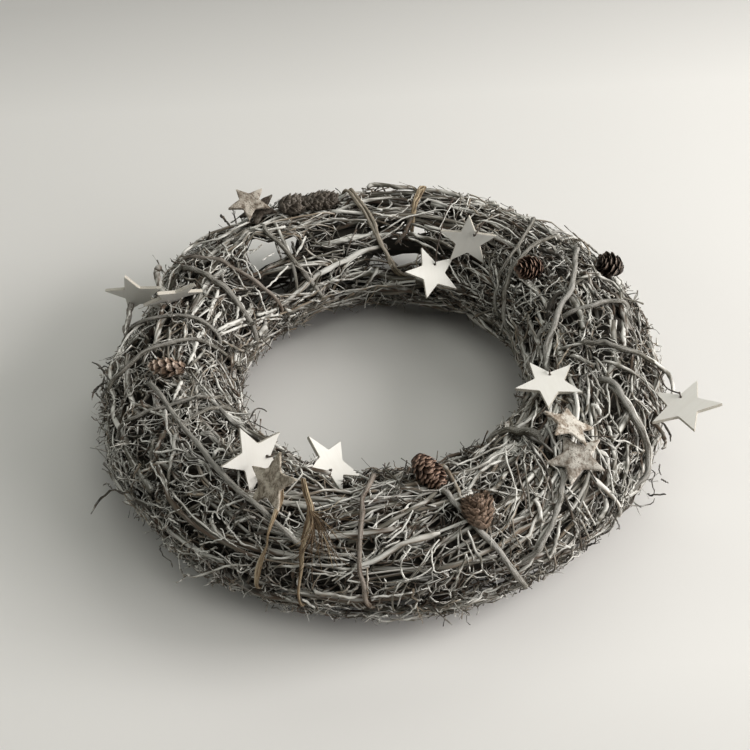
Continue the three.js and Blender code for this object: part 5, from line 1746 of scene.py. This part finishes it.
@dataclass(frozen=True)
class Star:
    """One star's place: tip radius, centre, the way its face looks and the way to its first tip."""

    name: str
    radius: float
    centre: Triple
    face: Triple
    tip: Triple
    hole: float | None = None
    route: tuple[Triple, ...] = ()

    def basis(self) -> Array:
        """Rows of the star's own frame: x to the first tip, z out of its face."""
        z = unit(np.array(self.face))
        x = unit(np.array(self.tip) - z * np.dot(self.tip, z))
        return np.stack([x, np.cross(z, x), z])

    def placed(self, points: Array) -> Array:
        """Points of the star's own frame in the model's frame."""
        return points @ self.basis() + RING.shifted(self.centre)


def star_outline(radius: float, notch: float, count: int, rounding: float) -> Array:
    """Outline of a five-pointed star with softened corners.

    The reach at an angle is the straight line between tip and notch, with each corner blended
    over a short arc by averaging neighbours.

    Args:
        radius: Reach of the tips.
        notch: Reach of the notches, as a share of the radius.
        count: Number of points, a multiple of ten.
        rounding: Share from 0 to 1 of the softening.

    Returns:
        Count points, counterclockwise, from the first tip.
    """
    corner = np.arange(11)
    reach = np.where(corner % 2 == 0, radius, radius * notch)
    angle = corner * np.pi / 5
    x = np.interp(np.linspace(0, 10, count, endpoint=False), corner, reach * np.cos(angle))
    y = np.interp(np.linspace(0, 10, count, endpoint=False), corner, reach * np.sin(angle))
    outline = np.stack([x, y], axis=-1)
    softened = (np.roll(outline, 1, 0) + outline + np.roll(outline, -1, 0)) / 3
    return outline + rounding * (softened - outline)


@dataclass
class SawnStars:
    """Stars sawn from thin wood and painted white, each with its binding wire."""

    notch: float = 0.43
    thickness: float = 2.5
    bevel: float = 0.25
    hole_radius: float = 1.15
    hole_reach: float = 0.33
    points: int = 120
    wire_radius: float = 0.5
    wire_tail: float = 14.0
    edge_gap: float = 1.8
    loop_rise: float = 3.6
    grain_turn: tuple[Triple, ...] = ((0.94, 0.34, 0), (-0.34, 0.94, 0), (0, 0, 1.0))
    stars: tuple[Star, ...] = (
        Star("white_star_1", 23.5, (-177.2, 65.3, 79.3), (-0.15, -0.96, -0.24), (-0.19, -0.21, 0.96)),
        Star("white_star_2", 23.6, (-146.2, 46.7, 92.2), (0.25, -0.76, -0.61), (-0.36, -0.65, 0.67)),
        Star("white_star_3", 22.3, (42.6, 86.9, 66.1), (0.26, -0.41, 0.87), (-0.33, 0.81, 0.48), -36,
             ((65, 138, 6), (66, 122, 2.5), (67, 100, 1.5), (67, 76, 1.5), (67, 58, -9))),
        Star("white_star_4", 22.3, (70.1, 95.4, 88.6), (-0.21, -0.97, 0.13), (0.04, 0.12, 0.99), -36,
             ((54, 98, 3), (55, 88, -16))),
        Star("white_star_5", 23.9, (110.7, -56.9, 85.1), (0, 0.03, 1), (-0.45, 0.89, -0.03), -36),
        Star("white_star_6", 25.3, (200.4, -68.7, 68.7), (-0.23, 0.07, 0.97), (0.53, 0.85, 0.06), 36,
             ((347.5, 24, 3), (350, 38, 1.5), (352, 50, -9))),
        Star("white_star_7", 23.1, (-82.8, -118.9, 95), (0.39, -0.75, 0.53), (-0.36, 0.41, 0.84), -108),
        Star("white_star_8", 24.4, (-36.9, -89.4, 53.6), (0.64, -0.02, 0.77), (-0.63, 0.57, 0.54), 108),
    )

    def build(self) -> None:
        """Makes each star and its wire."""
        paint, edge, wire = PaintedWoodFinish().material(), SawnEdgeFinish().material(), WireFinish().material()
        for star in self.stars:
            soup = Soup()
            self.cut(soup, star)
            settle(soup.piece(f"{star.name}_wood", [paint, edge], smooth=False), star.name)
            if star.hole is not None:
                soup = Soup()
                self.thread(soup, star)
                settle(soup.piece(f"{star.name}_tie", [wire]), f"{star.name}_wire")

    def cut(self, soup: Soup, star: Star) -> None:
        """Adds one star as rings from its hole out over the face, down the edge and back below.

        Each ring mixes the hole's circle and the outline by a share, at a height that drops over
        the bevel. A star with no hole has a flat cap of a small ring in its middle instead. The
        walls from ring 4 to ring 7 are the sawn edge.
        """
        outline = star_outline(star.radius, self.notch, self.points, 0.5)
        inner = star_outline(star.radius - 2.2 * self.bevel, self.notch, self.points, 0.5)
        angle = np.linspace(0, 2 * np.pi, self.points, endpoint=False)
        circle = np.stack([np.cos(angle), np.sin(angle)], axis=-1)
        if star.hole is None:
            middle, size = np.zeros(2), 2.0
        else:
            turn = math.radians(star.hole)
            middle = self.hole_reach * star.radius * np.array([math.cos(turn), math.sin(turn)])
            size = self.hole_radius
        hole = middle + size * circle
        half, low = self.thickness / 2, self.thickness / 2 - self.bevel
        face = [hole + share * (inner - hole) for share in (0.0, 0.25, 0.5, 0.75, 1.0)]
        flat = np.stack([*face, outline, outline, *reversed(face)])
        heights = np.array([half] * 5 + [low, -low] + [-half] * 5)
        tall = np.broadcast_to(heights[:, None, None], (*flat.shape[:2], 1))
        local = np.concatenate([flat, tall], axis=-1)
        grain = local @ np.array(self.grain_turn) + 60.0 * len(star.name) + 90.0 * int(star.name[-1])
        looped = star.hole is not None
        soup.add_lofts(star.placed(local)[None, :, ::-1], None, grain[None, :, ::-1], looped=looped)
        skins = np.zeros(len(flat) if looped else len(flat) - 1, int)
        skins[4:7] = 1
        soup.skins[-1 if looped else -2] = np.repeat(skins, self.points)

    def thread(self, soup: Soup, star: Star) -> None:
        """Adds the wire: up through the hole, over the notch's edge and down, or on by its own route."""
        turn = math.radians(star.hole)
        reach = star.radius * self.hole_reach
        edge = star.radius * (self.notch - self.hole_reach) + self.edge_gap
        course = [(0, -self.wire_tail), (0, -3.0), (0, 2.1), (edge / 2, self.loop_rise), (edge, 1.0)]
        if not star.route:
            course += [(edge + 0.6, -3.0), (edge, -self.wire_tail)]
        out, height = np.array(course).T
        far = reach + out
        place = star.placed(np.stack([far * math.cos(turn), far * math.sin(turn), height], axis=-1))
        if star.route:
            place = np.concatenate([place, RING.place(*np.array(star.route, float).T)])
        path = through(place[None], 12 * (len(place) - 1))
        rings, _ = sweep(path, np.full(path.shape[:2], self.wire_radius), 8)
        soup.add_lofts(rings, None, rings)


@dataclass
class BarkStars:
    """Stars cut from bark, with a rough face and ragged edge."""

    notch: float = 0.45
    thickness: float = 2.2
    points: int = 110
    stars: tuple[tuple[Star, BarkFinish], ...] = (
        (Star("bark_star_1", 17.6, (-95, 149, 95.4), (0.05, -0.26, 0.965), (-0.58, 0.73, 0.35)),
         BarkFinish("speckled_bark", (0.13, 0.10, 0.075), (0.40, 0.35, 0.29), (0.54, 0.49, 0.42), 0.6, 0.8)),
        (Star("bark_star_2", 17.0, (-88.5, 149.6, 88), (-0.26, -0.21, 0.94), (0.65, 0.68, 0.33)),
         BarkFinish("dark_bark", (0.045, 0.036, 0.028), (0.11, 0.09, 0.075), (0.24, 0.225, 0.19), 0.2, 0.5)),
        (Star("bark_star_3", 20.2, (-72, -141.5, 97.5), (-0.57, -0.4, 0.72), (0.32, 0.7, 0.64)),
         BarkFinish("brown_bark", (0.17, 0.14, 0.105), (0.44, 0.385, 0.31), (0.60, 0.54, 0.45), 0.5, 0.7)),
        (Star("bark_star_4", 19.1, (116.4, -105.5, 96.2), (0.4, 0.12, 0.91), (0.08, 0.98, -0.16)),
         BarkFinish("cream_bark", (0.20, 0.15, 0.11), (0.44, 0.385, 0.315), (0.68, 0.64, 0.565), 0.62, 0.75)),
        (Star("bark_star_5", 20.5, (118.1, -127.6, 88.85), (-0.17, -0.12, 0.98), (-0.3, 0.95, 0.07)),
         BarkFinish("lichen_bark", (0.20, 0.16, 0.125), (0.49, 0.435, 0.375), (0.68, 0.64, 0.575), 0.6, 0.8)),
    )

    def build(self) -> None:
        """Makes each bark star."""
        rng = np.random.default_rng(SEED + 4)
        for star, finish in self.stars:
            soup = Soup()
            self.cut(soup, rng, star)
            settle(soup.piece(f"{star.name}_rind", [finish.material()]), star.name)

    def cut(self, soup: Soup, rng: Draws, star: Star) -> None:
        """Adds one star as rings from a small middle cap over the face, the edge and the back.

        The face's height adds waves of the place, x and y, whose phases are drawn for each star,
        and the outline is frayed by a small random reach.
        """
        fray = 1 + rng.normal(0, 0.012, (self.points, 1))
        outline = star_outline(star.radius, self.notch, self.points, 1.0) * fray
        half = self.thickness / 2
        shares = np.array([0.06, 0.2, 0.34, 0.48, 0.62, 0.74, 0.85, 0.94, 0.985, 1.0, 1.0, 0.97, 0.6, 0.1])
        heights = np.array([half] * 8 + [half - 0.25, half - 0.7, -half + 0.5, -half, -half, -half])
        local = np.empty((len(shares), self.points, 3))
        local[..., :2] = shares[:, None, None] * outline[None]
        local[..., 2] = heights[:, None]
        x, y = local[..., 0], local[..., 1]
        relief = np.zeros_like(x)
        for size in (0.25, 0.45, 0.8, 1.4):
            turn, phase = rng.uniform(0, np.pi), rng.uniform(0, 6)
            relief += 0.16 / (size + 0.4) * np.sin(size * (x * math.cos(turn) + y * math.sin(turn)) + phase)
        local[:9, :, 2] += relief[:9]
        bow = rng.uniform(0.002, 0.005)
        local[..., 2] -= bow * (x**2 + y**2) - 0.4
        grain = local + 55.0 * int(star.name[-1])
        soup.add_lofts(star.placed(local)[None, :, ::-1], None, grain[None, :, ::-1])


# ---------------------------------------------------------------- cones


@dataclass(frozen=True)
class Cone:
    """One larch cone: its middle, the way to its tip, length, widest radius and finish.

    Openness turns the scales out, scales is their number, breadth is their half width as a share
    of the radius, and ragged how far their rims fray.
    """

    name: str
    centre: Triple
    axis: Triple
    length: float
    radius: float
    finish: ConeFinish
    openness: float
    scales: int
    breadth: float
    ragged: float = 0.06

    def hull(self, t: Array) -> Array:
        """Its half width at a share of its length: radius * sin(pi * t^0.8)^0.7."""
        return self.radius * np.sin(np.pi * t**0.8) ** 0.7


# dark: the streaks' dark colour, and also the painted shade at each scale's root
DARK_CONE = ConeFinish("dark_cone", (0.018, 0.013, 0.010), (0.075, 0.053, 0.040), (0.30, 0.235, 0.19))
FUZZY_CONE = ConeFinish("grey_cone", (0.045, 0.036, 0.028), (0.12, 0.098, 0.077), (0.21, 0.18, 0.148))
RED_CONE = ConeFinish("red_cone", (0.018, 0.011, 0.008), (0.105, 0.056, 0.036), (0.38, 0.25, 0.185))
BROWN_CONE = ConeFinish("brown_cone", (0.13, 0.088, 0.062), (0.21, 0.145, 0.10), (0.29, 0.20, 0.142))
TAN_CONE = ConeFinish("tan_cone", (0.05, 0.03, 0.02), (0.34, 0.235, 0.165), (0.66, 0.53, 0.43))


@dataclass
class LarchCones:
    """Larch cones, each a row of scales wound about its spindle."""

    golden: float = 137.508
    cones: tuple[Cone, ...] = (
        Cone("cone_1", (-62.4, 151.2, 89.3), (1, 0.25, -0.1), 20, 8.3, FUZZY_CONE, 0.25, 90, 0.4, 0.2),
        Cone("cone_2", (-40, 153, 90.2), (1, 0.1, 0), 29, 7.4, FUZZY_CONE, 0.2, 120, 0.4, 0.2),
        Cone("cone_3", (112.5, 64, 85.5), (-0.88, -0.36, 0.26), 20, 8.2, RED_CONE, 0.5, 54, 0.42),
        Cone("cone_4", (174.5, 76, 73.5), (-0.85, -0.08, 0.49), 20, 8.8, DARK_CONE, 0.4, 56, 0.46, 0.1),
        Cone("cone_5", (-146.5, -27, 91.5), (-0.95, 0.1, 0.1), 25, 6.4, TAN_CONE, 0.45, 34, 0.52, 0.12),
        Cone("cone_6", (25.5, -134, 90), (0.55, -0.65, -0.3), 26, 8.0, RED_CONE, 0.4, 92, 0.42, 0.12),
        Cone("cone_7", (53.6, -165, 86), (-0.2, 0.62, 0.75), 19, 9.0, BROWN_CONE, 0.05, 150, 0.36, 0.3),
    )

    def build(self) -> None:
        """Makes each cone."""
        rng = np.random.default_rng(SEED + 5)
        made = {finish: finish.material() for finish in dict.fromkeys(cone.finish for cone in self.cones)}
        for cone in self.cones:
            soup = Soup()
            self.wind(soup, rng, cone)
            settle(soup.piece(f"{cone.name}_scales", [made[cone.finish]]), cone.name)

    def wind(self, soup: Soup, rng: Draws, cone: Cone) -> None:
        """Adds the spindle and the scales of one cone."""
        basis = facing(unit(np.array(cone.axis)), (-0.31, -0.2, -0.93))
        origin = RING.shifted(cone.centre)
        t = np.linspace(0, 1, 9)
        spindle = np.zeros((1, 9, 3))
        spindle[0, :, 2] = cone.length * (t - 0.5) * 0.96
        rings, _ = sweep(spindle, np.maximum(0.5 * cone.hull(t), 0.5)[None], 12)
        soup.add_lofts(rings @ basis + origin, None, rings)
        body, wear, grain = self.scales(rng, cone)
        soup.add_lofts(body @ basis + origin, wear, grain)

    def scales(self, rng: Draws, cone: Cone) -> tuple[Array, Array, Array]:
        """Rings of the scales in the cone's own frame, with their wear and grain.

        Scale i stands at the golden angle times i and at the height of its row. It starts at the
        spindle, leans up along the cone and out, and its section is a flat ellipse whose width grows
        as the sine of the way along it, cupped by the square of the way across.

        Args:
            rng: Source of the draws.
            cone: The cone.

        Returns:
            The rings, their tone twice and their place on the unbent scale.
        """
        count = cone.scales
        i = np.arange(count)
        height = (i + 0.5) / count
        turn = np.radians(self.golden * i) + rng.normal(0, 0.08 + 0.6 * cone.ragged, count)
        outer = cone.hull(0.06 + 0.88 * height)
        size = cone.breadth * (0.6 * cone.radius + 0.4 * outer)
        lean = np.radians(58 - 36 * cone.openness + rng.normal(0, 7, count)) * (0.7 + 0.4 * height)
        along = np.array([[0, 0.2, 0.42, 0.64, 0.82, 0.94, 1.0]])
        root_out = 0.42 * outer
        root_up = cone.length * (height * 0.92 - 0.5) - 0.10 * cone.length
        run = outer - root_out
        out = root_out[:, None] + run[:, None] * (along**0.8) + 0.10 * cone.radius * along**3
        climb = run / np.maximum(np.tan(np.pi / 2 - lean), 0.35)
        up = root_up[:, None] + climb[:, None] * along + 0.10 * cone.length * along**2
        up = np.clip(up, -cone.length / 2, cone.length / 2 + 0.6)
        width = size[:, None] * (0.30 + 0.70 * np.sin(np.pi * (0.12 + 0.70 * along)) ** 0.8)
        width[:, -1] *= 0.62
        angle = np.linspace(0, 2 * np.pi, 8, endpoint=False)
        across = width[..., None] * np.cos(angle)
        thick = (0.36 - 0.12 * along)[..., None] * np.sin(angle)
        cup = -0.22 * across**2 / np.maximum(size[:, None, None], 0.5)
        frill = cone.ragged * size[:, None, None] * rng.normal(0, 1, across.shape) * along[..., None] ** 3
        ways = np.stack([[np.cos(turn), np.sin(turn)], [-np.sin(turn), np.cos(turn)]])
        away, aside = np.concatenate([ways, np.zeros((2, 1, count))], axis=1).transpose(0, 2, 1)[:, :, None, None]
        body = (
            away * (out[..., None] + cup + frill)[..., None]
            + aside * across[..., None]
            + np.array([0, 0, 1.0]) * (up[..., None] + thick + frill)[..., None]
        )
        tone = np.broadcast_to(along[..., None], body.shape[:3])
        grain = np.stack(np.broadcast_arrays(out[..., None] + 31.0 * i[:, None, None], across, thick), axis=-1)
        return body, np.stack([tone, tone], axis=-1), grain


def clearings(eye: Array, star_share: float = 0.93, cone_share: float = 1.05) -> list[Clearing]:
    """Faces of the stars and cones that stay in sight.

    Args:
        eye: Where they are seen from, in millimetres.
        star_share: Size of a star's clearing as a share of the star's.
        cone_share: Radius of a cone's clearing as a share of the cone's.

    Returns:
        A star outline for each star, and a disc across the line of sight for each cone.
    """
    stars = [(star, SawnStars.notch) for star in SawnStars.stars]
    stars += [(star, BarkStars.notch) for star, _ in BarkStars.stars]
    found = [Clearing(RING.shifted(star.centre), star.basis(), star_share * star.radius, notch, eye)
             for star, notch in stars]
    for cone in LarchCones.cones:
        centre = RING.shifted(cone.centre)
        found.append(Clearing(centre, facing(unit(eye - centre)), cone_share * cone.radius, 1.0, eye))
    return found


# ---------------------------------------------------------------- studio


@dataclass
class Studio:
    """Pale floor, soft light from the upper right and the camera of the photo's view."""

    floor_half: float = 6.0
    floor_colour: Colour = (0.80, 0.79, 0.765)
    elevation: float = 44.2
    distance: float = 1.001
    roll: float = -3.12
    target: Pair = (-0.012565, 0.050402)
    lens: float = 62.4
    sensor: float = 36.0
    # painted shade at the floor's far and near ends, and painted light on its right side
    far_shade_span: Pair = (0.44, 0.66)
    far_painted_shade: float = 0.24
    painted_light_span: Pair = (-0.05, 0.3)
    painted_light_gain: float = 0.06
    near_shade_span: Pair = (-0.22, -0.36)
    near_painted_shade: float = 0.13
    lamp_reach: float = 2.8
    lamp_size: float = 1.2
    window_colour: Colour = (1.0, 0.968, 0.95)
    room_colour: Colour = (0.99, 1.0, 0.935)
    sky_colour: Colour = (0.93, 0.96, 1.0)
    sky_strength: float = 0.02
    aim: Triple = (0, 0, 0.04)
    lamps: tuple[Triple, ...] = (
        (-30, 25, 29.2), (0, 25, 56.8), (30, 25, 2.4), (180, 25, 10.2), (225, 25, 1.6), (0, 45, 10.1), (60, 45, 7.1),
        (90, 45, 5.1), (-60, 65, 7.5), (-30, 65, 3.7), (30, 65, 1.7), (180, 65, 2.6), (225, 65, 1.5), (0, 90, 2.7),
    )

    def build(self) -> None:
        """Makes the floor, the lights and the camera."""
        self.lay_floor()
        self.hang_lights()
        self.set_camera()
        bpy.context.scene.view_settings.view_transform = "Standard"

    def lay_floor(self) -> None:
        """A wide flat sheet under the wreath, with painted shade a little towards its far and near ends and painted
        light on its right side.
        """
        half = self.floor_half
        mesh = bpy.data.meshes.new("floor")
        mesh.from_pydata([(-half, -half, 0), (half, -half, 0), (half, half, 0), (-half, half, 0)], [], [(0, 1, 2, 3)])
        material, tree = new_material("floor_paper_painted_light_and_shade")
        across, depth, _ = tree.node("SeparateXYZ", {0: tree.node("TexCoord").outputs["Object"]}).outputs
        # painted shade towards the far and near ends, painted light towards the right side
        far = tree.spread(depth, *self.far_shade_span, (0.0, self.far_painted_shade))
        near = tree.spread(depth, *self.near_shade_span, (0.0, self.near_painted_shade))
        painted_light_colour = tuple((1 + self.painted_light_gain) * value for value in self.floor_colour)
        side = tree.spread(across, *self.painted_light_span)
        painted_light_floor = tree.mix(side, self.floor_colour, painted_light_colour)
        painted_shade_floor = tree.mix(tree.maths("ADD", far, near), painted_light_floor, (0.0, 0.0, 0.0))
        surface(tree, painted_shade_floor, 0.9, 0.1)
        mesh.materials.append(material)
        link(bpy.data.objects.new("floor", mesh))

    def hang_lights(self) -> None:
        """A broad low light from the right and weak ones all round, with a faint sky."""
        for number, (azimuth, rise, power) in enumerate(self.lamps):
            turn, tilt = math.radians(azimuth), math.radians(rise)
            way = Vector((math.cos(tilt) * math.cos(turn), math.cos(tilt) * math.sin(turn), math.sin(tilt)))
            colour = self.window_colour if rise < 60 and abs(azimuth) <= 30 else self.room_colour
            self.area(f"soft_light_{number + 1}", way * self.lamp_reach, power, colour)
        world = bpy.data.worlds.new("studio_sky")
        world.use_nodes = True
        background = world.node_tree.nodes["Background"]
        background.inputs["Color"].default_value = (*self.sky_colour, 1.0)
        background.inputs["Strength"].default_value = self.sky_strength
        bpy.context.scene.world = world

    def area(self, name: str, place: Vector, power: float, colour: Colour) -> None:
        """A square area light that looks at the wreath."""
        lamp = bpy.data.lights.new(name, "AREA")
        lamp.size = self.lamp_size
        lamp.energy = power
        lamp.color = colour
        light = bpy.data.objects.new(name, lamp)
        light.location = place
        light.rotation_euler = (Vector(self.aim) - place).to_track_quat("-Z", "Y").to_euler()
        link(light)

    def back(self) -> Vector:
        """Direction from the target to the camera, in front and up at its elevation."""
        rise = math.radians(self.elevation)
        return Vector((0, -math.cos(rise), math.sin(rise)))

    def eye(self) -> Vector:
        """Where the camera stands, its distance from the target."""
        return Vector((*self.target, 0)) + self.distance * self.back()

    def set_camera(self) -> None:
        """The camera looks at the target, turned by its roll about its own line."""
        roll, back = math.radians(self.roll), self.back()
        right = Vector((1, 0, 0))
        up = back.cross(right)
        turned_right = math.cos(roll) * right + math.sin(roll) * up
        turned_up = -math.sin(roll) * right + math.cos(roll) * up
        lens = bpy.data.cameras.new("camera")
        lens.lens = self.lens
        lens.sensor_width = self.sensor
        camera = bpy.data.objects.new("camera", lens)
        turn = Matrix((turned_right, turned_up, back)).transposed().to_4x4()
        camera.matrix_world = Matrix.Translation(self.eye()) @ turn
        bpy.context.scene.camera = link(camera)


def main() -> None:
    """Builds the studio and each part of the wreath."""
    logging.basicConfig(level=logging.INFO, format="%(name)s: %(message)s")
    studio = Studio()
    studio.build()
    eye = np.array(studio.eye()) / MM
    TwigRing(eye).build(clearings(eye))
    Vines().build()
    BastTies().build()
    SawnStars().build()
    BarkStars().build()
    LarchCones().build()


if __name__ == "__main__":
    main()
